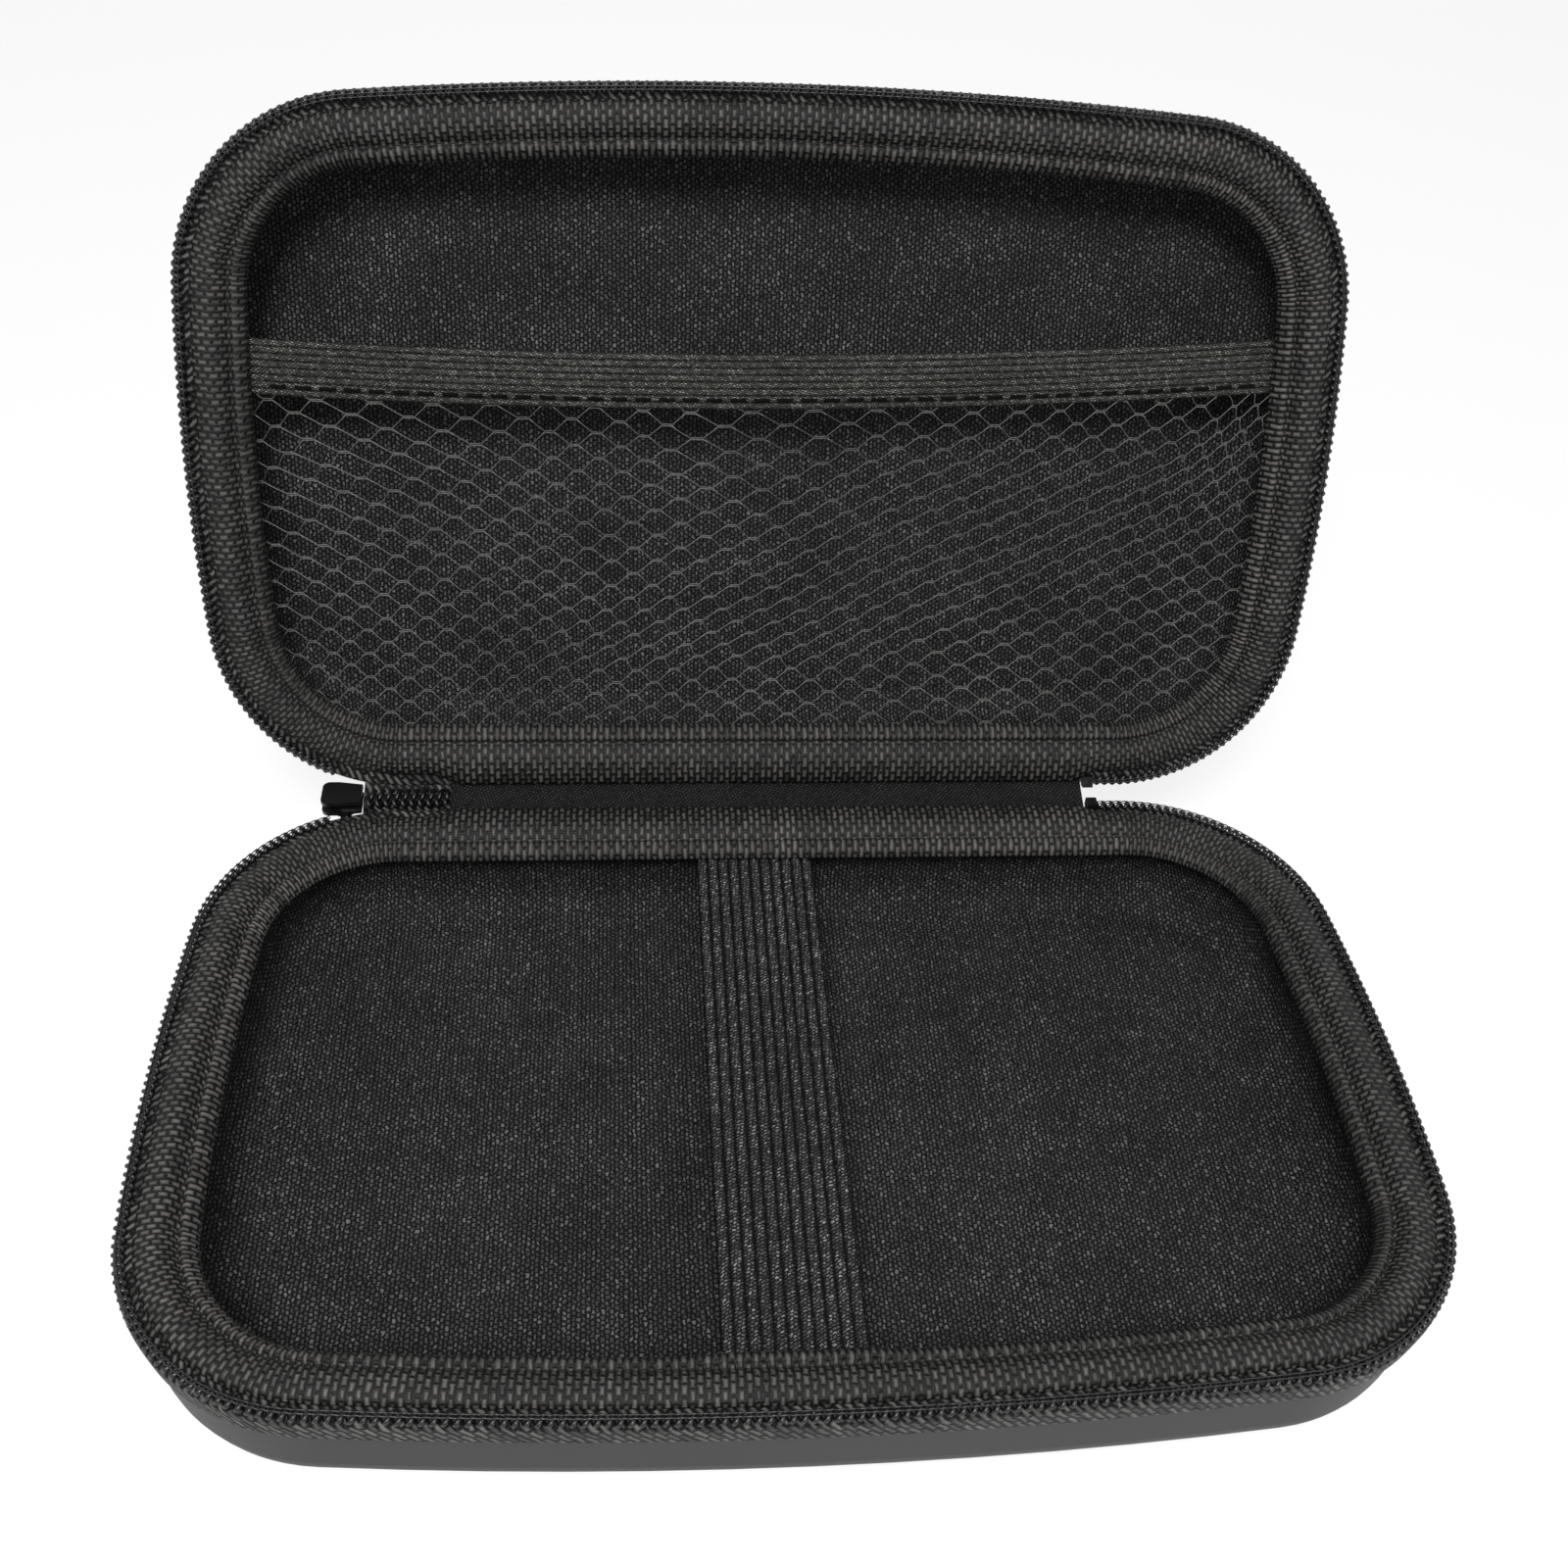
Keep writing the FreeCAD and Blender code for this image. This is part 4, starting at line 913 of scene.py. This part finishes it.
# The closed coils: half the way between their middles, how wide and how tall each is, how much
# shorter than the chain's box they run, and how far inside its ends they start and stop.
CHAIN_APART, CHAIN_WIDE, CHAIN_TALL = 1.0, 1.3, 0.68
CHAIN_SHORT, CHAIN_END, CHAIN_TURN_POINTS = 1, (0.5, 0.4), 14
# Inset and drop of the closed tape on either rim, from under the binding outward, how far below
# the closed coils it hangs, half its thickness, and its gap from the slider.
CLOSED_TAPE = ((3.4, 2.45), (1.6, 2.5), (0.7, 2.8))
CLOSED_TAPE_BELOW, CLOSED_TAPE_HALF, CLOSED_TAPE_GAP = 0.35, 0.2, 0.1
CLOSED_TAPE_STEP, CLOSED_TAPE_ROWS = 0.5, 28


def coil(outline, first, last, pitch):
    """A flattened coil along the rim between two places, each turn of it a squared oval."""
    turns = (last - first) / pitch
    turn = np.linspace(0, TAU * turns, int(turns * TURN_POINTS))
    place = first + (last - first) * turn / turn[-1]
    across, down = squared(turn, COIL_POWERS)
    inset = COIL_MIDDLE[0] - COIL_WIDE * across
    drop = COIL_MIDDLE[1] + COIL_TALL * down
    path = rim(outline, place, inset[:, None], drop[:, None])[:, 0]
    return tubes(path, WIRE, 6, place)


def seam(outline, first, last, pitch, inset):
    """Thread that dips between the turns of a coil: a tube along the rim whose height is a
    cosine of the place."""
    place = np.arange(first, last, pitch / 4)
    dips = SEAM_DROP + SEAM_DIP * np.cos(TAU * (place - first) / pitch)
    path = rim(outline, place, np.full((len(place), 1), inset), dips[:, None])[:, 0]
    return tubes(path, SEAM_RADIUS, 5, place)


class CASE_OT_zipper(bpy.types.Operator):
    """Make the tapes, the open and the closed coils, and finish the slider, pull and stops"""

    bl_idname = "case.zipper"
    bl_label = "Zipper"

    def execute(self, context):
        outline = Outline()
        case = sizes()
        meeting = outline.corner_place(case.coil_end)
        near_left, near_right = (reach + TAPE_GAP for reach in (case.hinge_left, case.hinge_right))
        spans = {
            "base": (near_right, outline.length - near_left,
                     near_right + STOP_ROOM, outline.length - meeting),
            "lid": (near_left, outline.length - near_right,
                    meeting, outline.length - near_right - STOP_ROOM),
        }
        twill, nylon, enamel = tape_twill(), coil_nylon(), black_enamel()
        for half, put in HALVES:
            self.make_tape(outline, twill, half, put, *spans[half][:2])
            self.make_coil(outline, nylon, half, put, *spans[half][2:])
        self.make_chain(nylon)
        self.make_chain_tape(outline, twill)
        for name in ("zip_slider", "zip_pull", "base_zip_stop", "lid_zip_stop"):
            dress_node(name, enamel)
        return {"FINISHED"}

    def make_tape(self, outline, twill, half, put, first, last):
        """The tape's section, a flat loop, carried along the rim."""
        section = eased(TAPE_SECTION, TAPE_STEP, closed=True)
        place = np.linspace(first, last, TAPE_PLACES)
        inset, drop = (
            np.broadcast_to(column, (len(place), len(section))) for column in section.T
        )
        around = run_length(section)
        made = patch(
            rim(outline, place, inset, drop), uv_grid(place, around), (False, True), capped=True
        )
        tape = make_piece(
            half + "_tape", [made], put, twill, half, [half + "_zip_tape"]
        )

    def make_coil(self, outline, nylon, half, put, first, last):
        """One side's coil and the two seams that hold it to its tape."""
        pitch = patterns().tooth
        seams = [seam(outline, first, last, pitch, inset) for inset in SEAMS]
        make_piece(
            half + "_coil", [coil(outline, first, last, pitch), *seams], put, nylon, half,
            [half + "_zip_coil"],
        )

    def make_chain(self, nylon):
        """The closed end: two flat coils side by side, half a pitch apart, whose heads mesh in
        the middle. Each is a squared oval along X about the chain's own line."""
        low, high = (np.array(corner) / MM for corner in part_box("zip_chain"))
        centre = (low + high) / 2
        pitch = patterns().tooth
        turns = (high[0] - low[0] - CHAIN_SHORT) / pitch
        turn = np.linspace(0, TAU * turns, int(turns * CHAIN_TURN_POINTS))
        across, down = squared(turn, COIL_POWERS)
        parts = []
        for hand in (-1, 1):
            x = low[0] + CHAIN_END[0] + turn / TAU * pitch + (pitch / 2 if hand > 0 else 0)
            y = centre[1] + hand * (CHAIN_APART - CHAIN_WIDE * across)
            z = centre[2] + CHAIN_TALL * down
            path = np.stack([np.minimum(x, high[0] - CHAIN_END[1]), y, z], -1)
            parts.append(tubes(path, WIRE, 6, turn))
        make_piece("closed_coil", parts, in_case, nylon, "base", ["zip_chain"])

    def make_chain_tape(self, outline, twill):
        """The tape that carries the closed coils: at each place along the hinge line a smooth
        curve from under one binding, below the coils, to under the other."""
        low, high = (np.array(corner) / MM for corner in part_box("zip_chain"))
        slider_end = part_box("zip_slider")[1][0] / MM
        rows = CLOSED_TAPE_ROWS
        x = np.linspace(slider_end + CLOSED_TAPE_GAP, -sizes().hinge_left, rows)
        edge, normals = outline.at(outline.length + x)

        def under_rim(put, side, inset, drop):
            across = (edge + inset * normals) * side
            return put(np.concatenate([across, np.full((rows, 1), -drop)], 1))

        middle = np.array([0, (low[1] + high[1]) / 2, low[2] - CLOSED_TAPE_BELOW])
        keys = [
            *(under_rim(in_base, (1, 1), *key) for key in CLOSED_TAPE),
            in_case(np.array([1, 0, 0]) * x[:, None] + middle),
            *(under_rim(in_lid, (-1, 1), *key) for key in CLOSED_TAPE[::-1]),
        ]
        # All rows are eased as one long point, whose way is longer by the root of their count.
        flat = eased([key.ravel() for key in keys], CLOSED_TAPE_STEP * MM * math.sqrt(rows))
        sheet = flat.reshape(len(flat), rows, 3).transpose(1, 0, 2)
        along = np.gradient(sheet, axis=1)
        lift = np.cross(along, [1.0, 0.0, 0.0])
        lift *= CLOSED_TAPE_HALF * MM / np.linalg.norm(lift, axis=-1, keepdims=True)
        loop = np.concatenate([sheet + lift, (sheet - lift)[:, ::-1], (sheet + lift)[:, :1]], 1)
        run = run_length(sheet[rows // 2]) / MM
        across = np.concatenate([run, run[::-1], [0]])
        made = patch(loop / MM, uv_grid(x, across), (False, True), capped=True)
        obj = make_piece("closed_tape", [made], in_case, twill, None)
        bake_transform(obj)


# Hinge

# Each strip's path from rim to rim: inset and drop on the base's rim, outward from where it is
# sewn in, and then the same on the lid's rim, back to its seam.
HINGE_STRIPS = {
    "inner": (((4.4, 2.45), (2.4, 2.4), (0.9, 2.35)), ((0.9, 2.35), (2.4, 2.4), (4.4, 2.45))),
    "outer": (((0.95, 6.9), (0.75, 4.6), (0.7, 3.9)), ((0.7, 3.4), (0.75, 4.6), (0.95, 6.9))),
}
# Half a strip's thickness, and where on the rims its bend starts and ends.
HINGE_HALF_THICK, HINGE_STEP, HINGE_PLACES = 0.22, 0.35, 200
BEND_INSET, BEND_DROP = 0.7, {"inner": 2.4, "outer": 4.2}


def rim_point(half, inset, drop):
    """Y and Z, in millimetres, of a point of a half's rear rim."""
    point = np.array([0.0, sizes().depth / 2 - inset, -drop])
    return dict(HALVES)[half](point)[1:] / MM


class CASE_OT_hinge(bpy.types.Operator):
    """Hang both cloth strips between the rear rims"""

    bl_idname = "case.hinge"
    bl_label = "Hinge cloth"

    def execute(self, context):
        """A strip is its path, thickened along its normals and drawn out along X."""
        case = sizes()
        across = np.linspace(-case.hinge_left, case.hinge_right, HINGE_PLACES)
        weave = hinge_weave()
        for name, (on_base, on_lid) in HINGE_STRIPS.items():
            keys = [rim_point("base", *key) for key in on_base]
            keys += [rim_point("lid", *key) for key in on_lid]
            line = eased(keys, HINGE_STEP)
            lift = outward(line, False) * HINGE_HALF_THICK
            loop = np.concatenate([line + lift, (line - lift)[::-1], (line + lift)[:1]])
            points = np.zeros((len(across), len(loop), 3))
            points[..., 0] = across[:, None]
            points[..., 1:] = loop
            made = patch(points, uv_grid(across, run_length(loop)), (False, True), capped=True)
            obj = make_piece(
                "hinge_cloth_" + name, [made], in_case, weave, None,
                ["hinge_" + name],
            )
            start, end = (
                in_case(rim_point(half, BEND_INSET, BEND_DROP[name])) for half, _ in HALVES
            )
            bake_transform(obj)
        return {"FINISHED"}


# Strap

# Half of the strap's path, from its turned-up front end to its middle: how far in front of the
# middle, and how far below the rim. The rear half mirrors it.
STRAP_PATH = ((62.95, 3.3), (62.95, 4.6), (62.7, 5.6), (61.75, 5.95), (58.95, 6.0), (0, 6.85))
STRAP_STEP = 0.9


class CASE_OT_strap(bpy.types.Operator):
    """Stretch the ribbed elastic across the base, its ends turned up behind the binding"""

    bl_idname = "case.strap"
    bl_label = "Strap"

    def execute(self, context):
        """The ribbed section is carried along the path, square to it."""
        mirrored = [(-reach, drop) for reach, drop in STRAP_PATH[-2::-1]]
        line = eased([*STRAP_PATH, *mirrored], STRAP_STEP)
        normal = outward(line, False)
        side, lift = webbing_section(
            STRAP_WIDTH, patterns().strap_rib, steps=(133, 24), round_power=0.5, low=0.25,
            high=0.7, thick=0.5, square=24,
        )
        along = run_length(line)
        points = np.zeros((len(line), len(side), 3))
        points[..., 0] = STRAP_CENTRE + side
        points[..., 1] = line[:, 0, None] - lift * normal[:, 0, None]
        points[..., 2] = -(line[:, 1, None] - lift * normal[:, 1, None])
        made = patch(
            points, uv_grid(along, side + STRAP_WIDTH / 2), (False, True), flip=True,
            capped=True,
        )
        obj = make_piece(
            "strap_elastic", [made], in_base, strap_elastic(), "base",
            ["elastic_strap"],
        )
        return {"FINISHED"}


# Pocket

BAND_PLACE, BAND_SAG, BAND_TILT, BAND_REACH = -15.5, 3.2, 1.7, 104.3
BAND_WIDTH, BAND_RISE, BAND_PLACES = 11.0, 0.1, 160
# A running stitch: how long it is, how far inside the band's lower edge it lies, how high over
# the net it starts, how far it bows up from there, and its thread's radius.
STITCH_LENGTH, STITCH_MARGIN, STITCH_LIFT, STITCH_BOW, STITCH_RADIUS = 3.1, 1.9, 0.6, 0.24, 0.36
# The net: its drop, how deep its belly hangs below that, and how far it waves in and out. The
# belly is full between two lines in the lid's own y, and eases to nought beyond them.
NET_DROP, NET_BELLY, NET_WAVE = 5.75, 0.9, 0.12
BELLY_FROM, BELLY_TO, BELLY_EASE = 8, 40, 16
# Columns and rows to either side of the middle, where the middle lies, the share of a column
# that a bar takes, and how far a bar's two threads lie to either side of it.
NET_COLUMNS, NET_ROWS, NET_MIDDLE, NET_BAR, NET_APART = 28, 14, 22, 0.36, 0.18
# A thread's mean radius, how much it thickens toward its knots, and the share of it that a
# slack leg loses.
THREAD_RADIUS, THREAD_KNOT, THREAD_SLACK = 0.125, 0.05, 0.68
# How far the net runs up behind the band, and the inset at which the binding covers it.
NET_TUCK, NET_EDGE = 1.2, 12.0
# The net is pulled askew: to one side at the left, to the other at the right. The shares hold at
# those distances from the middle, in the lid's own x, on lines that lean across the rows.
NET_PULL, NET_LEAN, NET_TOP = 0.5, 0.8, 10.0
NET_PULL_AT = (-110, -88, -60, -20, 5, 32, 60, 95)
NET_PULL_SHARE = (0.0, 0.3, 1.0, 1.0, 0.8, 0.0, -0.2, -0.9)
# How far that pull carries each row, and how steep it is there: less beside the band and none
# at the rear, where the net is sewn in.
NET_ROW, NET_CARRY = (-15, 0, 45, 60), (-36, -30, 15, 16)
NET_STEEP_AT, NET_STEEP = (-5, 5, 40, 50), (0.4, 1.0, 1.0, 0.1)


def band_line(x):
    """Middle of the band, in the lid's own y, at each x: a sag that is a square of x, and a
    tilt in line with it."""
    share = np.asarray(x) / BAND_REACH
    return BAND_PLACE - BAND_SAG * share**2 + BAND_TILT * share


class CASE_OT_pocket(bpy.types.Operator):
    """Make the pocket in the lid: the ribbed band, its running stitches and the net"""

    bl_idname = "case.pocket"
    bl_label = "Pocket"

    def execute(self, context):
        self.make_band()
        self.make_stitches()
        self.make_net()
        return {"FINISHED"}

    def make_band(self):
        """The ribbed section is carried along X, and follows the band's line."""
        x = np.linspace(-BAND_REACH, BAND_REACH, BAND_PLACES)
        side, lift = webbing_section(
            BAND_WIDTH, patterns().band_rib, steps=(81, 81), round_power=0.6, low=0.26,
            high=0.56, thick=0.4, square=16,
        )
        points = np.zeros((len(x), len(side), 3))
        points[..., 0] = x[:, None]
        points[..., 1] = band_line(x)[:, None] + side
        points[..., 2] = -NET_DROP + lift + BAND_RISE
        made = patch(points, uv_grid(x, side + BAND_WIDTH / 2), (False, True), capped=True)
        obj = make_piece(
            "band_elastic", [made], in_lid, hem_elastic(), "lid",
            ["pocket_band"],
        )

    def make_stitches(self):
        """Short tubes that rise from the band's face and sink back: their height is half a
        cosine wave, with its crest in the middle of each."""
        pitch = patterns().stitch
        count = int(2 * BAND_REACH / pitch) - 1
        middle = (np.arange(count) - (count - 1) / 2) * pitch
        t = np.linspace(-0.5, 0.5, 9)
        x = middle[:, None] + t * STITCH_LENGTH
        y = band_line(x) + BAND_WIDTH / 2 - STITCH_MARGIN
        z = -NET_DROP + STITCH_LIFT + STITCH_BOW * np.cos(math.pi * t)
        path = np.stack([x, y, np.broadcast_to(z, x.shape)], -1)
        make_piece(
            "running_stitches", [tubes(path, STITCH_RADIUS, 6, t)], in_lid, sewing_thread_and_dip_shade(),
            "lid", ["pocket_stitches"],
        )

    def make_net(self):
        """Six-sided meshes with level bars: columns stand a fixed step apart, every second one
        half a row lower. A bar is two threads side by side, a slanting leg is one. Each row is
        carried sideways by a share that changes slowly over the net, and a little out of true
        by slow sine waves. The legs that this slackens are thinner."""
        column, row = patterns().mesh_column, patterns().mesh_row
        bar = NET_BAR * column
        i, j = np.meshgrid(
            np.arange(-NET_COLUMNS, NET_COLUMNS + 1), np.arange(-NET_ROWS, NET_ROWS + 1),
            indexing="ij",
        )
        x = i * column
        y = (j + 0.5 * (i % 2)) * row + NET_MIDDLE
        knots_left = np.stack([x - bar / 2, y], -1).reshape(-1, 2)
        knots_right = np.stack([x + bar / 2, y], -1).reshape(-1, 2)
        lower = knots_right + np.array([column - bar, row / 2])
        upper = knots_right + np.array([column - bar, -row / 2])
        t = np.linspace(0, 1, 4)

        def strands(start, end, shift):
            line = start[:, None] * (1 - t)[:, None] + end[:, None] * t[:, None]
            line[..., 1] += shift
            return line

        lines = np.concatenate([
            strands(knots_left, knots_right, -NET_APART),
            strands(knots_left, knots_right, NET_APART),
            strands(knots_right, lower, 0.0),
            strands(knots_right, upper, 0.0),
        ])
        lean = np.repeat([0, 0, 1, -1], len(knots_left))[:, None]
        px, py = lines[..., 0], lines[..., 1]
        share = np.interp(px - NET_LEAN * (py - NET_TOP), NET_PULL_AT, NET_PULL_SHARE)
        steep = share * np.interp(py, NET_STEEP_AT, NET_STEEP)
        slack = 1 - THREAD_SLACK * np.clip(-lean * steep, 0, 1)
        carried = NET_PULL * share * np.interp(py, NET_ROW, NET_CARRY)
        lines = np.stack([
            px + carried + 0.5 * np.sin(py / 9 + px / 31),
            py + 0.5 * np.sin(px / 17 + 0.7) + 0.35 * np.sin(px / 7.1 + py / 11),
        ], -1)
        kept = self.in_net(lines.mean(1))
        lines, slack = lines[kept], slack[kept]
        waves = np.sin(lines[..., 0] * 1.9) * np.sin(lines[..., 1] * 1.7)
        belly = window(lines[..., 1], BELLY_FROM, BELLY_TO, BELLY_EASE)
        depth = -NET_DROP - NET_BELLY * belly + NET_WAVE * waves
        path = np.concatenate([lines, depth[..., None]], -1)
        radius = slack * (THREAD_RADIUS + THREAD_KNOT * np.cos(TAU * t))
        make_piece(
            "net_threads", [tubes(path, radius, 5, t)], in_lid, net_thread(), "lid",
            ["pocket_net"],
        )

    def in_net(self, points):
        """True where a point lies between the band and the covered edge of the binding."""
        outline = Outline()
        x, y = np.abs(points[:, 0]), points[:, 1]
        inside = y > band_line(points[:, 0]) + BAND_WIDTH / 2 - NET_TUCK
        inside &= y < outline.rear_y - NET_EDGE
        centre, radius = outline.arcs[1][0], outline.arcs[1][1] - NET_EDGE
        inside &= np.hypot(x - centre.real, y) < radius
        corner = (x > outline.corner_x) & (y > outline.corner_y)
        turn = np.hypot(x - outline.corner_x, y - outline.corner_y)
        inside &= ~corner | (turn < outline.arcs[0][1] - NET_EDGE)
        return inside


# Studio

# The photograph's camera: its place, its turn as a rotation vector, its lens and sensor in
# millimetres.
CAMERA_PLACE = (-0.0308, -0.20544, 0.28025)
CAMERA_TURN = (0.841, -0.085, -0.044)
LENS_MM, SENSOR_MM = 39.63, 36.0
# The floor: its reach from the middle, and for the rays that see it the share and the strength
# of its own white. Other rays find matte paper.
FLOOR_REACH, FLOOR_WHITE_SHARE, FLOOR_WHITE = 6.0, 0.72, 1.12
# How strongly the surround lights the case, and how bright it is where it is seen.
SURROUND_LIGHT, SURROUND_SEEN = 0.16, 1.0
# Each lamp's name, its place, its diameter and its power in watts, and the place that all of
# them point at.
LAMPS = (
    ("Key softbox", (-0.12, -0.45, 0.74), 0.28, 6.0),
    ("Softbox above", (0.15, 0.0, 1.1), 0.9, 2.0),
    ("Softbox left", (-0.9, -0.5, 0.6), 0.8, 0.9),
    ("Softbox right", (0.9, -0.4, 0.6), 0.8, 1.1),
    ("Softbox behind", (0.1, 1.1, 0.8), 0.9, 1.5),
)
LAMP_TARGET = Vector((0, 0.07, 0.06))


class CASE_OT_studio(bpy.types.Operator):
    """Set a pale floor, a white surround, soft lamps and the camera"""

    bl_idname = "case.studio"
    bl_label = "Studio"

    def execute(self, context):
        self.make_floor()
        self.make_world(context.scene)
        for lamp in LAMPS:
            self.make_lamp(*lamp)
        self.make_camera(context.scene)
        context.scene.view_settings.view_transform = "Standard"
        return {"FINISHED"}

    def seen(self, tree):
        """One on rays from the camera, from a reflection or through glass, nought on others."""
        ray = node(tree, "ShaderNodeLightPath").outputs
        first = node(
            tree, "ShaderNodeMath", {0: ray["Is Camera Ray"], 1: ray["Is Glossy Ray"]},
            operation="MAXIMUM",
        )
        return node(
            tree, "ShaderNodeMath",
            {0: first.outputs["Value"], 1: ray["Is Transmission Ray"]}, operation="MAXIMUM",
        ).outputs["Value"]

    def make_floor(self):
        mesh = bpy.data.meshes.new("floor")
        reach = FLOOR_REACH
        mesh.from_pydata(
            [(-reach, -reach, 0), (reach, -reach, 0), (reach, reach, 0), (-reach, reach, 0)],
            [], [(0, 1, 2, 3)],
        )
        floor = bpy.data.objects.new("floor", mesh)
        bpy.context.scene.collection.objects.link(floor)
        material, tree = new_material("White paper")
        matte = node(tree, "ShaderNodeBsdfDiffuse", {"Color": (*colours().floor, 1)})
        white = node(
            tree, "ShaderNodeEmission", {"Color": (1, 1, 1, 1), "Strength": FLOOR_WHITE}
        )
        share = node(
            tree, "ShaderNodeMath", {0: self.seen(tree), 1: FLOOR_WHITE_SHARE},
            operation="MULTIPLY",
        )
        mixed = node(
            tree, "ShaderNodeMixShader",
            {0: share.outputs["Value"], 1: matte.outputs["BSDF"], 2: white.outputs["Emission"]},
        )
        node(tree, "ShaderNodeOutputMaterial", {"Surface": mixed.outputs["Shader"]})
        mesh.materials.append(material)

    def make_world(self, scene):
        world = bpy.data.worlds.new("Studio")
        world.use_nodes = True
        tree = world.node_tree
        tree.nodes.clear()
        light, seen = (
            node(tree, "ShaderNodeBackground", {"Color": (1, 1, 1, 1), "Strength": strength})
            for strength in (SURROUND_LIGHT, SURROUND_SEEN)
        )
        mixed = node(
            tree, "ShaderNodeMixShader",
            {0: self.seen(tree), 1: light.outputs["Background"], 2: seen.outputs["Background"]},
        )
        node(tree, "ShaderNodeOutputWorld", {"Surface": mixed.outputs["Shader"]})
        scene.world = world

    def make_lamp(self, name, place, size, power):
        data = bpy.data.lights.new(name, "AREA")
        data.shape = "DISK"
        data.size = size
        data.energy = power
        lamp = bpy.data.objects.new(name, data)
        aim = LAMP_TARGET - Vector(place)
        lamp.location = place
        lamp.rotation_euler = aim.to_track_quat("-Z", "Y").to_euler()
        bpy.context.scene.collection.objects.link(lamp)

    def make_camera(self, scene):
        data = bpy.data.cameras.new("Camera")
        data.lens = LENS_MM
        data.sensor_width = SENSOR_MM
        data.clip_start = 0.01
        camera = bpy.data.objects.new("Camera", data)
        turn = Vector(CAMERA_TURN)
        rotation = Quaternion(turn.normalized(), turn.length).to_matrix().to_4x4()
        camera.matrix_world = Matrix.Translation(CAMERA_PLACE) @ rotation
        scene.collection.objects.link(camera)
        scene.camera = camera


class CASE_PT_panel(bpy.types.Panel):
    """Lists the steps that build the case"""

    bl_idname = "CASE_PT_panel"
    bl_label = "Carrying case"
    bl_space_type = "VIEW_3D"
    bl_region_type = "UI"
    bl_category = "Case"

    def draw(self, context):
        for operator in OPERATORS:
            self.layout.operator(operator.bl_idname)
        for group in ("case_sizes", "case_patterns", "case_colours"):
            settings = getattr(context.scene, group)
            box = self.layout.box()
            for key in settings.__annotations__:
                box.prop(settings, key)


GROUPS = {
    "case_sizes": CaseSizes, "case_patterns": CasePatterns, "case_colours": CaseColours,
}
OPERATORS = (
    CASE_OT_shells, CASE_OT_linings, CASE_OT_bindings, CASE_OT_zipper, CASE_OT_hinge,
    CASE_OT_strap, CASE_OT_pocket, CASE_OT_studio,
)


def register():
    for item in (*GROUPS.values(), *OPERATORS, CASE_PT_panel):
        bpy.utils.register_class(item)
    for name, group in GROUPS.items():
        setattr(bpy.types.Scene, name, bpy.props.PointerProperty(type=group))


def unregister():
    for name in GROUPS:
        delattr(bpy.types.Scene, name)
    for item in reversed((*GROUPS.values(), *OPERATORS, CASE_PT_panel)):
        bpy.utils.unregister_class(item)


def main():
    register()
    for operator in OPERATORS:
        step = getattr(bpy.ops.case, operator.bl_idname.split(".")[1])
        if step() != {"FINISHED"}:
            raise RuntimeError(operator.bl_label + " could not be built")


if __name__ == "__main__":
    main()
